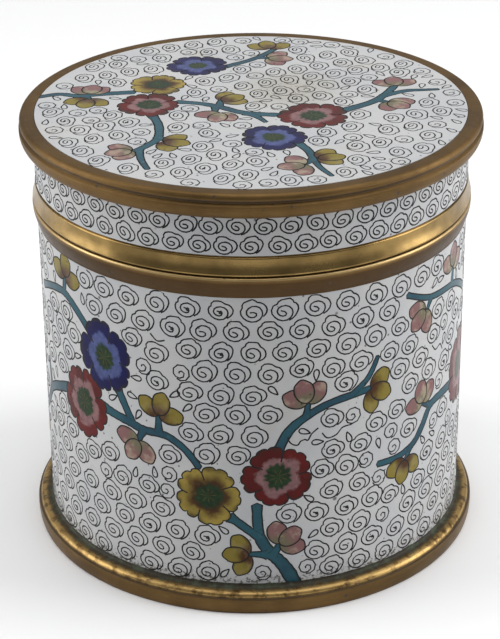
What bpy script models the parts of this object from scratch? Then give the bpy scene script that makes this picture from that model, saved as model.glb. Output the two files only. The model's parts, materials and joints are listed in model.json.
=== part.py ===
"""Enamel box: a round lidded box of enamelled copper with turned brass rings.

All lengths are in metres, +Z is up, and the box's axis is the Z axis. The origin is the
centre of the foot ring's underside, which is what the box stands on. Every piece is turned:
its outline is listed as (radius, height) points, down the outer side and back up the inner
side, and spun round the axis.
"""
import math

import bmesh
import bpy

# How the pieces are faceted and how close they sit
FACETS = 72               # flat faces round every turned piece
SEAM = 0.0003             # clear space between a piece and the one that carries it
WELD = 0.000001           # points closer than this are one point
SHARP_ANGLE = math.radians(40.0)

# Drum: the enamelled wall and floor of the box
DRUM_RADIUS = 0.0466      # outer radius of the enamelled wall
DRUM_HEIGHT = 0.0673      # from the drum's underside to the top of its wall
DRUM_WALL = 0.0018        # copper with enamel on both sides
DRUM_FLOOR = 0.0018
DRUM_FILLET = 0.0012      # inside corner between wall and floor

# Foot ring: a bead above a groove above a plain face
FOOT_OVERHANG = 0.0034    # how far the plain face stands outside the wall
FOOT_SEAT = 0.0030        # how far the ring reaches in under the drum
FOOT_FACE = 0.0038        # height of the plain face, up to the groove
FOOT_RISE = 0.0015        # from the groove up to the seat
FOOT_BELLY = 0.0023       # height at which the face is widest
FOOT_TOE = 0.0006         # how far the face pulls in at the bottom
FOOT_ARRIS = 0.0002       # bevel on the face's upper edge
FOOT_STEP = 0.0004        # how far the bead stands back from the face
FOOT_GROOVE = 0.00025     # depth of the groove, behind the bead's edge
FOOT_BEAD = 0.0016        # width of the bead
FOOT_BEAD_RISE = 0.0007   # how far the bead stands above the groove

# Mouth ring: the brass edge of the box, with the collar that the lid fits over
MOUTH_OVERHANG = 0.0010   # how far its lip stands outside the wall
MOUTH_HEIGHT = 0.0043     # from the top of the wall to the lip that the lid rests on
MOUTH_LIP = 0.0004        # rounding of the lip
MOUTH_LAND = 0.0001       # how far its lower edge stands outside the wall
MOUTH_CURVE = 1.6         # roundness of the tapering face: 1 is straight, 2 is well rounded
MOUTH_STEPS = 3           # facets down the tapering face
COLLAR_HEIGHT = 0.0030    # how far the collar stands above the lip
COLLAR_THICKNESS = 0.0009
COLLAR_CLEARANCE = 0.0003  # play between the collar and the lid

# Lid: the enamelled cap
LID_STEP = 0.0001         # how far the lid's wall stands outside the drum's
LID_HEIGHT = 0.0142       # from the lower edge of its enamelled wall to its top
LID_WALL = 0.0018
LID_TOP = 0.0018          # thickness of the top plate
LID_FILLET = 0.0012       # inside corner between wall and top plate

# Lid band: the polished brass edge under the lid's wall
BAND_OVERHANG = 0.0008    # how far its lower edge stands outside the lid's wall
BAND_HEIGHT = 0.0040
BAND_SHOULDER = 0.0002    # how far its upper edge stands outside the lid's wall
BAND_EDGE = 0.0004        # rounding of both edges

# Lid rim: the heavy brass ring round the top plate
RIM_OVERHANG = 0.0030     # how far it stands outside the lid's wall
RIM_HEIGHT = 0.0054
RIM_SEAT = 0.0005         # depth of the shoulder that it sits in
RIM_EDGE = 0.0009         # rounding of the top edge
RIM_STEP = 0.00015        # how far that edge stands back from the widest part
RIM_GROOVE = 0.0003       # depth of the fine groove below the edge
RIM_GROOVE_WIDTH = 0.0003
RIM_UNDERCUT = 0.0016     # how far its lower edge pulls in

# Heights, from the ground up
foot_groove_z = FOOT_FACE
foot_top = FOOT_FACE + FOOT_RISE
drum_bottom = foot_top + SEAM
drum_top = drum_bottom + DRUM_HEIGHT
mouth_bottom = drum_top + SEAM
mouth_top = mouth_bottom + MOUTH_HEIGHT
collar_top = mouth_top + COLLAR_HEIGHT
band_bottom = mouth_top + SEAM
band_top = band_bottom + BAND_HEIGHT
lid_bottom = band_top + SEAM
lid_top = lid_bottom + LID_HEIGHT
rim_bottom = lid_top - RIM_HEIGHT

# Radii that pieces share
drum_inside = DRUM_RADIUS - DRUM_WALL
foot_radius = DRUM_RADIUS + FOOT_OVERHANG
foot_inside = DRUM_RADIUS - FOOT_SEAT
mouth_radius = DRUM_RADIUS + MOUTH_OVERHANG
lid_radius = DRUM_RADIUS + LID_STEP
lid_inside = lid_radius - LID_WALL
plate_radius = lid_radius - RIM_SEAT
collar_outside = lid_inside - COLLAR_CLEARANCE
collar_inside = collar_outside - COLLAR_THICKNESS
band_radius = lid_radius + BAND_OVERHANG
rim_radius = lid_radius + RIM_OVERHANG
rim_inside = plate_radius + SEAM


def arc(radius, height, width, rise, first, last, steps):
    """Points on an elliptical arc about (radius, height), from angle first to last in degrees."""
    points = []
    for step in range(steps + 1):
        angle = math.radians(first + (last - first) * step / steps)
        points.append((radius + width * math.cos(angle), height + rise * math.sin(angle)))
    return points


def finish(name, color, roughness, metallic):
    """A plain material for one kind of surface."""
    material = bpy.data.materials.new(name)
    material.use_nodes = True
    shader = material.node_tree.nodes["Principled BSDF"]
    shader.inputs["Base Color"].default_value = (*color, 1.0)
    shader.inputs["Roughness"].default_value = roughness
    shader.inputs["Metallic"].default_value = metallic
    return material


def turned(name, outline, material):
    """Spin an outline of (radius, height) points round the Z axis into one closed solid.

    An outline that starts and ends on the axis is left open there; any other is closed.
    """
    shape = bmesh.new()
    points = [shape.verts.new((radius, 0.0, height)) for radius, height in outline]
    edges = [shape.edges.new(pair) for pair in zip(points, points[1:])]
    if outline[0][0] > 0.0:
        edges.append(shape.edges.new((points[-1], points[0])))
    bmesh.ops.spin(
        shape,
        geom=points + edges,
        cent=(0.0, 0.0, 0.0),
        axis=(0.0, 0.0, 1.0),
        angle=2.0 * math.pi,
        steps=FACETS,
        use_merge=True,
    )
    bmesh.ops.remove_doubles(shape, verts=shape.verts, dist=WELD)
    bmesh.ops.recalc_face_normals(shape, faces=shape.faces)
    mesh = bpy.data.meshes.new(name)
    shape.to_mesh(mesh)
    shape.free()
    mesh.shade_smooth()
    mesh.set_sharp_from_angle(angle=SHARP_ANGLE)
    mesh.materials.append(material)
    piece = bpy.data.objects.new(name, mesh)
    bpy.context.scene.collection.objects.link(piece)
    return piece


def make_drum(material):
    """The straight enamelled wall with its flat floor."""
    floor_top = drum_bottom + DRUM_FLOOR
    fillet_radius = drum_inside - DRUM_FILLET
    outline = [
        (0.0, floor_top),
        *arc(fillet_radius, floor_top + DRUM_FILLET, DRUM_FILLET, DRUM_FILLET, -90.0, 0.0, 3),
        (drum_inside, drum_top),
        (DRUM_RADIUS, drum_top),
        (DRUM_RADIUS, drum_bottom),
        (0.0, drum_bottom),
    ]
    return turned("drum", outline, material)


def make_foot_ring(material):
    """The moulded foot: a sloping cove, a bead, a groove and a slightly bellied plain face."""
    bead_outside = foot_radius - FOOT_STEP
    bead_middle = bead_outside - FOOT_BEAD / 2.0
    bead_foot = foot_groove_z + FOOT_BEAD_RISE / 2.0
    outline = [
        (foot_inside, foot_top),
        (DRUM_RADIUS, foot_top),
        (bead_outside - FOOT_BEAD, foot_groove_z + FOOT_BEAD_RISE),
        *arc(bead_middle, bead_foot, FOOT_BEAD / 2.0, FOOT_BEAD_RISE, 120.0, 0.0, 4),
        (bead_outside - FOOT_GROOVE, foot_groove_z),
        (foot_radius - FOOT_ARRIS, foot_groove_z - FOOT_ARRIS),
        *arc(foot_radius - FOOT_TOE, FOOT_BELLY, FOOT_TOE, FOOT_BELLY, 0.0, -90.0, 4),
        (foot_inside, 0.0),
    ]
    return turned("foot_ring", outline, material)


def make_mouth_ring(material):
    """The brass edge of the box: a rounded lip over a face that tapers in, and the collar inside it."""
    lip_z = mouth_top - MOUTH_LIP
    taper_top = lip_z - MOUTH_LIP
    taper_foot = DRUM_RADIUS + MOUTH_LAND
    taper = []
    for step in range(MOUTH_STEPS + 1):
        way_down = step / MOUTH_STEPS
        radius = taper_foot + (mouth_radius - taper_foot) * (1.0 - way_down ** MOUTH_CURVE)
        taper.append((radius, taper_top + (mouth_bottom - taper_top) * way_down))
    outline = [
        (collar_inside, collar_top),
        (collar_outside, collar_top),
        (collar_outside, mouth_top),
        *arc(mouth_radius - MOUTH_LIP, lip_z, MOUTH_LIP, MOUTH_LIP, 90.0, 0.0, 2),
        *taper,
        (collar_inside, mouth_bottom),
    ]
    return turned("mouth_ring", outline, material)


def make_lid_band(material):
    """The polished band under the lid's enamel, a little wider at its lower edge."""
    shoulder = lid_radius + BAND_SHOULDER
    outline = [
        (lid_inside, band_top),
        *arc(shoulder - BAND_EDGE, band_top - BAND_EDGE, BAND_EDGE, BAND_EDGE, 90.0, 0.0, 3),
        *arc(band_radius - BAND_EDGE, band_bottom + BAND_EDGE, BAND_EDGE, BAND_EDGE, 0.0, -90.0, 3),
        (lid_inside, band_bottom),
    ]
    return turned("lid_band", outline, material)


def make_lid_cap(material):
    """The enamelled cap: wall and flat top plate in one, with a shoulder for the rim, hollow below."""
    plate_underside = lid_top - LID_TOP
    fillet_radius = lid_inside - LID_FILLET
    shoulder_z = rim_bottom - SEAM
    outline = [
        (0.0, lid_top),
        (plate_radius, lid_top),
        (plate_radius, shoulder_z),
        (lid_radius, shoulder_z),
        (lid_radius, lid_bottom),
        (lid_inside, lid_bottom),
        *arc(fillet_radius, plate_underside - LID_FILLET, LID_FILLET, LID_FILLET, 0.0, 90.0, 3),
        (0.0, plate_underside),
    ]
    return turned("lid_cap", outline, material)


def make_lid_rim(material):
    """The heavy ring round the top plate: flat on top, finely grooved, rounded under at the bottom."""
    edge_z = lid_top - RIM_EDGE
    belly_z = edge_z - RIM_GROOVE_WIDTH
    edge_radius = rim_radius - RIM_STEP
    lower_radius = rim_radius - RIM_UNDERCUT
    outline = [
        (rim_inside, lid_top),
        *arc(edge_radius - RIM_EDGE, edge_z, RIM_EDGE, RIM_EDGE, 90.0, 0.0, 3),
        (edge_radius - RIM_GROOVE, edge_z - RIM_GROOVE_WIDTH / 2.0),
        *arc(lower_radius, belly_z, RIM_UNDERCUT, belly_z - rim_bottom, 0.0, -90.0, 5),
        (rim_inside, rim_bottom),
    ]
    return turned("lid_rim", outline, material)


def main():
    for old in list(bpy.data.objects):
        bpy.data.objects.remove(old, do_unlink=True)
    enamel = finish("pale enamel", (0.50, 0.50, 0.53), 0.2, 0.0)
    aged_brass = finish("aged brass", (0.22, 0.13, 0.05), 0.4, 1.0)
    polished_brass = finish("polished brass", (0.48, 0.33, 0.12), 0.25, 1.0)
    make_drum(enamel)
    make_foot_ring(aged_brass)
    make_mouth_ring(aged_brass)
    make_lid_band(polished_brass)
    make_lid_cap(enamel)
    make_lid_rim(aged_brass)


main()
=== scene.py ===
"""Enamel box: the looks of a round cloisonne box with turned brass rings.

The frame gives the solids in metres. The drum and the lid cap are rebuilt as closed shells whose
enamelled faces are cut into the fields of a prunus pattern. Geometry Nodes lay the wires between
the fields and the cloud scrolls on them, and turn the four brass rings. The pattern's places were
read off the photo by eye, and a scratch script converted them to millimetres through the fitted
camera: on the drum (way round, height), 0 at the front and growing to the right, and on the lid
(x, y), with -y at the front.
"""
import json
import math
import random

import bmesh
import bpy
from mathutils import Matrix, Vector
from mathutils.geometry import delaunay_2d_cdt
from mathutils.kdtree import KDTree

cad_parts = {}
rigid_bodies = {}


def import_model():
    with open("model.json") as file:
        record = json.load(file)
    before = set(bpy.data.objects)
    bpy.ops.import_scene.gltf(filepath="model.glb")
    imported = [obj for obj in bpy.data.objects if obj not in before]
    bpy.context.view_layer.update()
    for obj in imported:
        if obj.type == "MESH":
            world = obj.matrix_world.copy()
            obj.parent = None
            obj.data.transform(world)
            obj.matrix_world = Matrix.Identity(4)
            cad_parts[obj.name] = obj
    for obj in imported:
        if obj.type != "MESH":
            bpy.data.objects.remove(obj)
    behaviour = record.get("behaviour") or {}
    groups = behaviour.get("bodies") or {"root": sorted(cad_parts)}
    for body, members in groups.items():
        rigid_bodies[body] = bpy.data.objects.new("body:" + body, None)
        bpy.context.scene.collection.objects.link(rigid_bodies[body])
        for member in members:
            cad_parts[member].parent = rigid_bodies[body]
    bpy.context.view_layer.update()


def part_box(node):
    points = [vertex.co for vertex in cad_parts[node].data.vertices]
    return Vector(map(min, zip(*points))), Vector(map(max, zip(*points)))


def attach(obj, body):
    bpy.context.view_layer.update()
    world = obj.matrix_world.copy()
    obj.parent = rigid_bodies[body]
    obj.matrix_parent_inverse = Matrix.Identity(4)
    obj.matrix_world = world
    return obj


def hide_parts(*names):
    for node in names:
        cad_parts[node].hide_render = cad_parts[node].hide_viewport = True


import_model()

MM = 0.001

# Heights and radii of the solids, in millimetres
DRUM_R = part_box("drum")[1].x / MM
DRUM_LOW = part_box("drum")[0].z / MM
DRUM_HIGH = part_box("drum")[1].z / MM
LID_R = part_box("lid_cap")[1].x / MM
LID_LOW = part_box("lid_cap")[0].z / MM
# The wires on the lid stand 0.03 mm proud, up to the CAD box
LID_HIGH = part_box("lid_cap")[1].z / MM - 0.03
FOOT_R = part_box("foot_ring")[1].x / MM
FOOT_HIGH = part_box("foot_ring")[1].z / MM
MOUTH_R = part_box("mouth_ring")[1].x / MM
MOUTH_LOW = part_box("mouth_ring")[0].z / MM
MOUTH_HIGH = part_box("mouth_ring")[1].z / MM
BAND_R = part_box("lid_band")[1].x / MM
BAND_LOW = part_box("lid_band")[0].z / MM
BAND_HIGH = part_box("lid_band")[1].z / MM
RIM_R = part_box("lid_rim")[1].x / MM
RIM_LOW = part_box("lid_rim")[0].z / MM
PLATE_R = LID_R - 0.5
WALL = 1.8

# How finely things are made
AROUND = 144              # straight steps round a shell
RING_AROUND = 240         # straight steps round a brass ring
FIELD_GRID = 2.0          # spacing of the free points in a shell's enamelled face
TUCK = 1.6                # how far an enamelled face runs on behind the brass
TUCK_BELOW = 3.0          # the same at the drum's foot
SEAM_START = -math.pi / 2.0 * DRUM_R    # the drum's pattern is unrolled from its left side
ROUND_DRUM = 2.0 * math.pi * DRUM_R


def srgb(red, green, blue):
    """A colour as seen on a screen, 0 to 255, as linear light."""
    linear = []
    for part in (red, green, blue):
        share = part / 255.0
        linear.append(share / 12.92 if share <= 0.04045 else ((share + 0.055) / 1.055) ** 2.4)
    return tuple(linear)


def colour(name, description, default):
    """A colour that the user may change."""
    return bpy.props.FloatVectorProperty(
        name=name, description=description, subtype="COLOR", size=3, min=0.0, max=1.0, default=default
    )


def length(name, description, default):
    """A length that the user may change."""
    return bpy.props.FloatProperty(
        name=name, description=description, default=default, min=0.0, unit="LENGTH"
    )


class EnamelBoxColours(bpy.types.PropertyGroup):
    """The colours of the enamels."""

    white: colour("White", "The ground between the scrolls", srgb(188, 188, 187))
    branch: colour("Branch", "The stems", srgb(38, 80, 92))
    branch_dark: colour("Branch, dark", "The stems where the enamel is thick", srgb(30, 62, 78))
    red: colour("Red", "Outer part of the red petals", srgb(90, 13, 9))
    red_pale: colour("Red, pale", "Inner part of the red petals", srgb(132, 96, 97))
    blue: colour("Blue", "Outer part of the blue petals", srgb(8, 7, 70))
    blue_pale: colour("Blue, pale", "Inner part of the blue petals", srgb(74, 84, 132))
    yellow: colour("Yellow", "Outer part of the yellow petals", srgb(152, 132, 60))
    yellow_brown: colour("Yellow, brown", "Inner part of the yellow petals", srgb(68, 40, 13))
    heart: colour("Heart", "The flowers' hearts", srgb(27, 52, 26))
    pink: colour("Pink", "Tips of the pink buds", srgb(124, 88, 88))
    sage: colour("Sage", "Base of the pink buds", srgb(104, 98, 78))
    inside: colour("Inside", "The enamel inside and below", srgb(70, 150, 160))


class EnamelBoxWires(bpy.types.PropertyGroup):
    """The wires that hold the enamel."""

    width: length("Width", "Width of the wire at the surface", 0.00052)
    proud: length("Proud", "How far the wire stands above the enamel", 0.00003)
    sink: length("Sink", "How far the wire's edges lie in the enamel", 0.00004)
    wire: colour("Wire", "The aged wire", srgb(22, 21, 23))
    scroll_width: length("Scroll width", "Width of a cloud scroll on the drum", 0.0054)
    scroll_pitch: length("Scroll pitch", "Distance between scrolls in a row on the drum", 0.0066)
    row_pitch: length("Row pitch", "Distance between the rows on the drum", 0.00478)
    wall_scroll_width: length("Lid wall scroll", "Width of a scroll on the lid's wall", 0.0047)
    top_scroll_width: length("Lid top scroll", "Width of a scroll on the lid's top", 0.0051)
    seed: bpy.props.IntProperty(name="Seed", description="Changes how the scrolls vary", default=7)


class EnamelBoxBrass(bpy.types.PropertyGroup):
    """The brass rings."""

    aged: colour("Aged", "The dull brass of the rim, lip and foot", srgb(111, 86, 51))
    # Grime also serves as the painted shade in the rim's groove and the foot's groove line
    grime: colour("Grime", "What sits in the grooves", srgb(40, 30, 20))
    # Polished also serves as the painted highlight on the foot's bead
    polished: colour("Polished", "The band round the lid and worn edges", srgb(188, 156, 98))
    verdigris: colour("Verdigris", "Green corrosion by the foot", srgb(60, 72, 56))
    unevenness: length("Unevenness", "How far the turning strays", 0.00004)


# Shader and node helpers


def place(tree, kind, inputs=None, **settings):
    """Add a node; each input is a value or another node's output."""
    node = tree.nodes.new(kind)
    for name, value in settings.items():
        setattr(node, name, value)
    for key, value in (inputs or {}).items():
        if isinstance(value, bpy.types.NodeSocket):
            tree.links.new(value, node.inputs[key])
        else:
            node.inputs[key].default_value = value
    return node


def calc(tree, operation, first, second=0.0, third=0.0):
    """One sum."""
    node = place(tree, "ShaderNodeMath", {0: first, 1: second, 2: third}, operation=operation)
    return node.outputs[0]


def between(tree, value, low, high):
    """0 below low, 1 above high, smooth between; low may be above high."""
    node = place(
        tree,
        "ShaderNodeMapRange",
        {"Value": value, "From Min": low, "From Max": high},
        interpolation_type="SMOOTHSTEP",
    )
    return node.outputs[0]


def blend(tree, share, first, second):
    """One colour into another."""
    colours = []
    for shade in (first, second):
        colours.append(shade if isinstance(shade, bpy.types.NodeSocket) else (*shade[:3], 1.0))
    node = place(tree, "ShaderNodeMix", {0: share, 6: colours[0], 7: colours[1]}, data_type="RGBA")
    return node.outputs[2]


def clouds(tree, where, scale, detail=2.0, roughness=0.5, distortion=0.0):
    """Soft noise, about 0.5 on average."""
    node = place(
        tree,
        "ShaderNodeTexNoise",
        {"Vector": where, "Scale": scale, "Detail": detail, "Roughness": roughness, "Distortion": distortion},
    )
    return node.outputs[0]


def spots(tree, where, scale, size, share):
    """Round spots in a share of the cells, 1 at their middles."""
    cells = place(tree, "ShaderNodeTexVoronoi", {"Vector": where, "Scale": scale})
    chance = place(tree, "ShaderNodeSeparateColor", {0: cells.outputs["Color"]})
    lucky = calc(tree, "LESS_THAN", chance.outputs[0], share)
    reach = calc(tree, "MULTIPLY", chance.outputs[1], size)
    near = calc(tree, "DIVIDE", cells.outputs["Distance"], calc(tree, "ADD", reach, size * 0.4))
    return calc(tree, "MULTIPLY", between(tree, near, 1.0, 0.5), lucky)


def bare_material(name):
    """A new material with its tree, its main shader and its Object coordinates."""
    material = bpy.data.materials.new(name)
    material.use_nodes = True
    tree = material.node_tree
    shader = tree.nodes["Principled BSDF"]
    where = place(tree, "ShaderNodeTexCoord").outputs["Object"]
    return material, tree, shader, where


def bump(tree, shader, height, strength, distance):
    """Relief on a shader."""
    node = place(tree, "ShaderNodeBump", {"Height": height, "Strength": strength, "Distance": distance})
    tree.links.new(node.outputs[0], shader.inputs["Normal"])


def glaze(tree, shader, where, shade):
    """What all the enamels share: specks, pits and a soft uneven gloss over a shade."""
    fine = spots(tree, where, 620.0, 0.17, 0.42)
    coarse = spots(tree, where, 190.0, 0.10, 0.36)
    pits = calc(tree, "MAXIMUM", fine, coarse)
    dark = blend(tree, calc(tree, "MULTIPLY", pits, 0.72), shade, srgb(46, 41, 40))
    tree.links.new(dark, shader.inputs["Base Color"])
    shader.inputs["Specular IOR Level"].default_value = 0.14
    gloss = calc(tree, "MULTIPLY_ADD", clouds(tree, where, 90.0, 3.0), 0.22, 0.18)
    tree.links.new(gloss, shader.inputs["Roughness"])
    waves = clouds(tree, where, 260.0, 2.0)
    height = calc(tree, "SUBTRACT", calc(tree, "MULTIPLY", waves, 0.35), pits)
    bump(tree, shader, height, 0.35, 0.00012)


# Middle of the yellowed stain on the lid
YELLOWED = (0.0084, 0.0098, 0.0963)


def white_enamel(colours):
    """The ground: cool white, misty, stained here and there."""
    material, tree, shader, where = bare_material("white enamel")
    mist = between(tree, clouds(tree, where, 75.0, 4.0, 0.6), 0.30, 0.70)
    white = tuple(colours.white)
    shade = blend(tree, mist, white, (white[0] * 0.91, white[1] * 0.92, white[2] * 0.96))
    stain = between(tree, clouds(tree, where, 34.0, 5.0, 0.65), 0.60, 0.74)
    shade = blend(tree, calc(tree, "MULTIPLY", stain, 0.30), shade, srgb(172, 164, 142))
    away = place(tree, "ShaderNodeVectorMath", {0: where, 1: YELLOWED}, operation="DISTANCE").outputs["Value"]
    ragged = calc(tree, "MULTIPLY_ADD", clouds(tree, where, 160.0, 4.0, 0.7), 0.016, away)
    shade = blend(tree, calc(tree, "MULTIPLY", between(tree, ragged, 0.0245, 0.0120), 0.40), shade, srgb(150, 142, 116))
    height, out, turn = height_and_round(tree, where)
    foot = calc(tree, "MAXIMUM", between(tree, height, 0.0105, 0.0056), calc(tree, "MULTIPLY", between(tree, away, 0.0120, 0.0040), 0.6))
    dirt = calc(tree, "MULTIPLY_ADD", foot, 0.21, clouds(tree, where, 1300.0, 4.0, 0.7))
    shade = blend(tree, calc(tree, "MULTIPLY", between(tree, dirt, 0.69, 0.76), 0.8), shade, srgb(66, 62, 48))
    glaze(tree, shader, where, shade)
    return material


def inside_enamel(colours):
    """The plain counter-enamel inside and underneath."""
    material, tree, shader, where = bare_material("inside enamel")
    inside = tuple(colours.inside)
    deep = tuple(part * 0.72 for part in inside)
    mist = between(tree, clouds(tree, where, 120.0, 4.0, 0.6), 0.32, 0.68)
    shade = blend(tree, mist, inside, deep)
    glaze(tree, shader, where, shade)
    return material


def own_place(tree):
    """A field's own coordinates: in a flower from its heart, in a bud from its base, in a stem across."""
    field = place(tree, "ShaderNodeAttribute", attribute_name="field")
    parts = place(tree, "ShaderNodeSeparateXYZ", {0: field.outputs["Vector"]})
    return parts.outputs


def petals(name, outer, inner, colours, inner_reach, softness, heart_reach):
    """A flower: a dark outer band, a paler blotch in each petal, and a ragged green heart with stamens."""
    material, tree, shader, where = bare_material(name)
    east, north, chance = own_place(tree)
    squares = calc(tree, "MULTIPLY_ADD", east, east, calc(tree, "MULTIPLY", north, north))
    radius = calc(tree, "SQRT", squares)
    turn = calc(tree, "ARCTAN2", north, east)
    rough = clouds(tree, where, 700.0, 3.0, 0.6)
    soft = clouds(tree, where, 190.0, 2.0, 0.5)
    petal = calc(tree, "COSINE", calc(tree, "MULTIPLY", turn, 5.0))
    streaks = clouds(tree, where, 380.0, 2.0, 0.5, 1.5)
    edge = calc(tree, "MULTIPLY_ADD", rough, 0.26, radius)
    edge = calc(tree, "MULTIPLY_ADD", soft, 0.44, edge)
    edge = calc(tree, "MULTIPLY_ADD", calc(tree, "SUBTRACT", streaks, 0.5), 1.6 * softness, edge)
    edge = calc(tree, "MULTIPLY_ADD", petal, 0.05, edge)
    outer_band = between(tree, edge, inner_reach + 0.30 - softness, inner_reach + 0.42 + softness)
    blotch = blend(tree, between(tree, rough, 0.35, 0.65), inner, tuple(part * 0.72 for part in inner))
    deep = blend(tree, between(tree, soft, 0.35, 0.65), outer, tuple(part * 0.66 for part in outer))
    shade = blend(tree, outer_band, blotch, deep)
    spikes = calc(tree, "COSINE", calc(tree, "MULTIPLY_ADD", turn, 13.0, calc(tree, "MULTIPLY", soft, 16.0)))
    reach = calc(tree, "MULTIPLY_ADD", spikes, 0.022, calc(tree, "MULTIPLY_ADD", rough, 0.30, radius))
    reach = calc(tree, "MULTIPLY_ADD", soft, 0.20, reach)
    heart_share = between(tree, reach, heart_reach + 0.4 * softness, heart_reach - 0.11 - 0.2 * softness)
    heart = tuple(colours.heart)
    green = blend(tree, between(tree, rough, 0.38, 0.62), heart, tuple(part * 0.6 for part in heart))
    shade = blend(tree, heart_share, shade, green)
    rays = calc(tree, "COSINE", calc(tree, "MULTIPLY_ADD", turn, 8.0, calc(tree, "MULTIPLY", soft, 7.0)))
    stamens = calc(tree, "MULTIPLY", between(tree, rays, 0.84, 0.98), between(tree, radius, 0.30, 0.16))
    shade = blend(tree, calc(tree, "MULTIPLY", stamens, 0.45), shade, srgb(122, 92, 40))
    rim = between(tree, edge, 1.18, 1.34)
    shade = blend(tree, calc(tree, "MULTIPLY", rim, 0.6), shade, srgb(40, 34, 20))
    glaze(tree, shader, where, shade)
    return material


def bud(name, base, tip, edge_shade, paleness):
    """A bud: one shade at its base running into another at its tip, darker along its edges."""
    material, tree, shader, where = bare_material(name)
    along, across, chance = own_place(tree)
    rough = clouds(tree, where, 420.0, 3.0, 0.6)
    way = calc(tree, "MULTIPLY_ADD", rough, 0.5, calc(tree, "SUBTRACT", along, 0.25))
    shade = blend(tree, between(tree, way, 0.18, 0.66), base, tip)
    broad = clouds(tree, where, 300.0, 3.0, 0.6)
    shade = blend(tree, calc(tree, "MULTIPLY", between(tree, broad, 0.46, 0.66), paleness), shade, srgb(178, 166, 142))
    side = calc(tree, "MULTIPLY_ADD", rough, 0.3, calc(tree, "ABSOLUTE", across))
    shade = blend(tree, calc(tree, "MULTIPLY", between(tree, side, 0.85, 1.12), 0.6), shade, edge_shade)
    glaze(tree, shader, where, shade)
    return material


def stem_enamel(colours):
    """The stems: blue-green, deeper and bluer in patches, greener at the edges."""
    material, tree, shader, where = bare_material("stem enamel")
    across, along, chance = own_place(tree)
    broad = clouds(tree, where, 110.0, 3.0, 0.6)
    rough = clouds(tree, where, 520.0, 3.0, 0.6)
    patch = calc(tree, "MULTIPLY", between(tree, broad, 0.42, 0.62), 0.7)
    shade = blend(tree, patch, tuple(colours.branch), tuple(colours.branch_dark))
    side = calc(tree, "MULTIPLY_ADD", rough, 0.5, calc(tree, "ABSOLUTE", across))
    shade = blend(tree, calc(tree, "MULTIPLY", between(tree, side, 0.86, 1.2), 0.7), shade, srgb(26, 50, 50))
    shade = blend(tree, calc(tree, "MULTIPLY", between(tree, rough, 0.62, 0.78), 0.35), shade, srgb(96, 134, 138))
    glaze(tree, shader, where, shade)
    return material


def wire_metal(wires):
    """The fine wires: dark with age, a little bare metal showing."""
    material, tree, shader, where = bare_material("cloison wire")
    worn = between(tree, clouds(tree, where, 300.0, 3.0, 0.6), 0.52, 0.75)
    dark = tuple(wires.wire)
    shade = blend(tree, calc(tree, "MULTIPLY", worn, 0.25), dark, srgb(80, 68, 50))
    tree.links.new(shade, shader.inputs["Base Color"])
    shader.inputs["Specular IOR Level"].default_value = 0.2
    shader.inputs["Roughness"].default_value = 0.55
    return material


def height_and_round(tree, where):
    """Height above the ground and distance from the axis."""
    parts = place(tree, "ShaderNodeSeparateXYZ", {0: where})
    across = place(tree, "ShaderNodeCombineXYZ", {"X": parts.outputs[0], "Y": parts.outputs[1]})
    out = place(tree, "ShaderNodeVectorMath", {0: across.outputs[0]}, operation="LENGTH")
    turn = calc(tree, "ARCTAN2", parts.outputs[1], parts.outputs[0])
    return parts.outputs[2], out.outputs["Value"], turn


def scratches(tree, height, out, turn, scale):
    """Fine marks that run round a ring, as turning and rubbing leave them."""
    spread = place(
        tree,
        "ShaderNodeCombineXYZ",
        {"X": calc(tree, "MULTIPLY", turn, 2.6), "Y": calc(tree, "MULTIPLY", height, scale),
         "Z": calc(tree, "MULTIPLY", out, scale)},
    )
    return clouds(tree, spread.outputs[0], 3.0, 4.0, 0.7)


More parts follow.
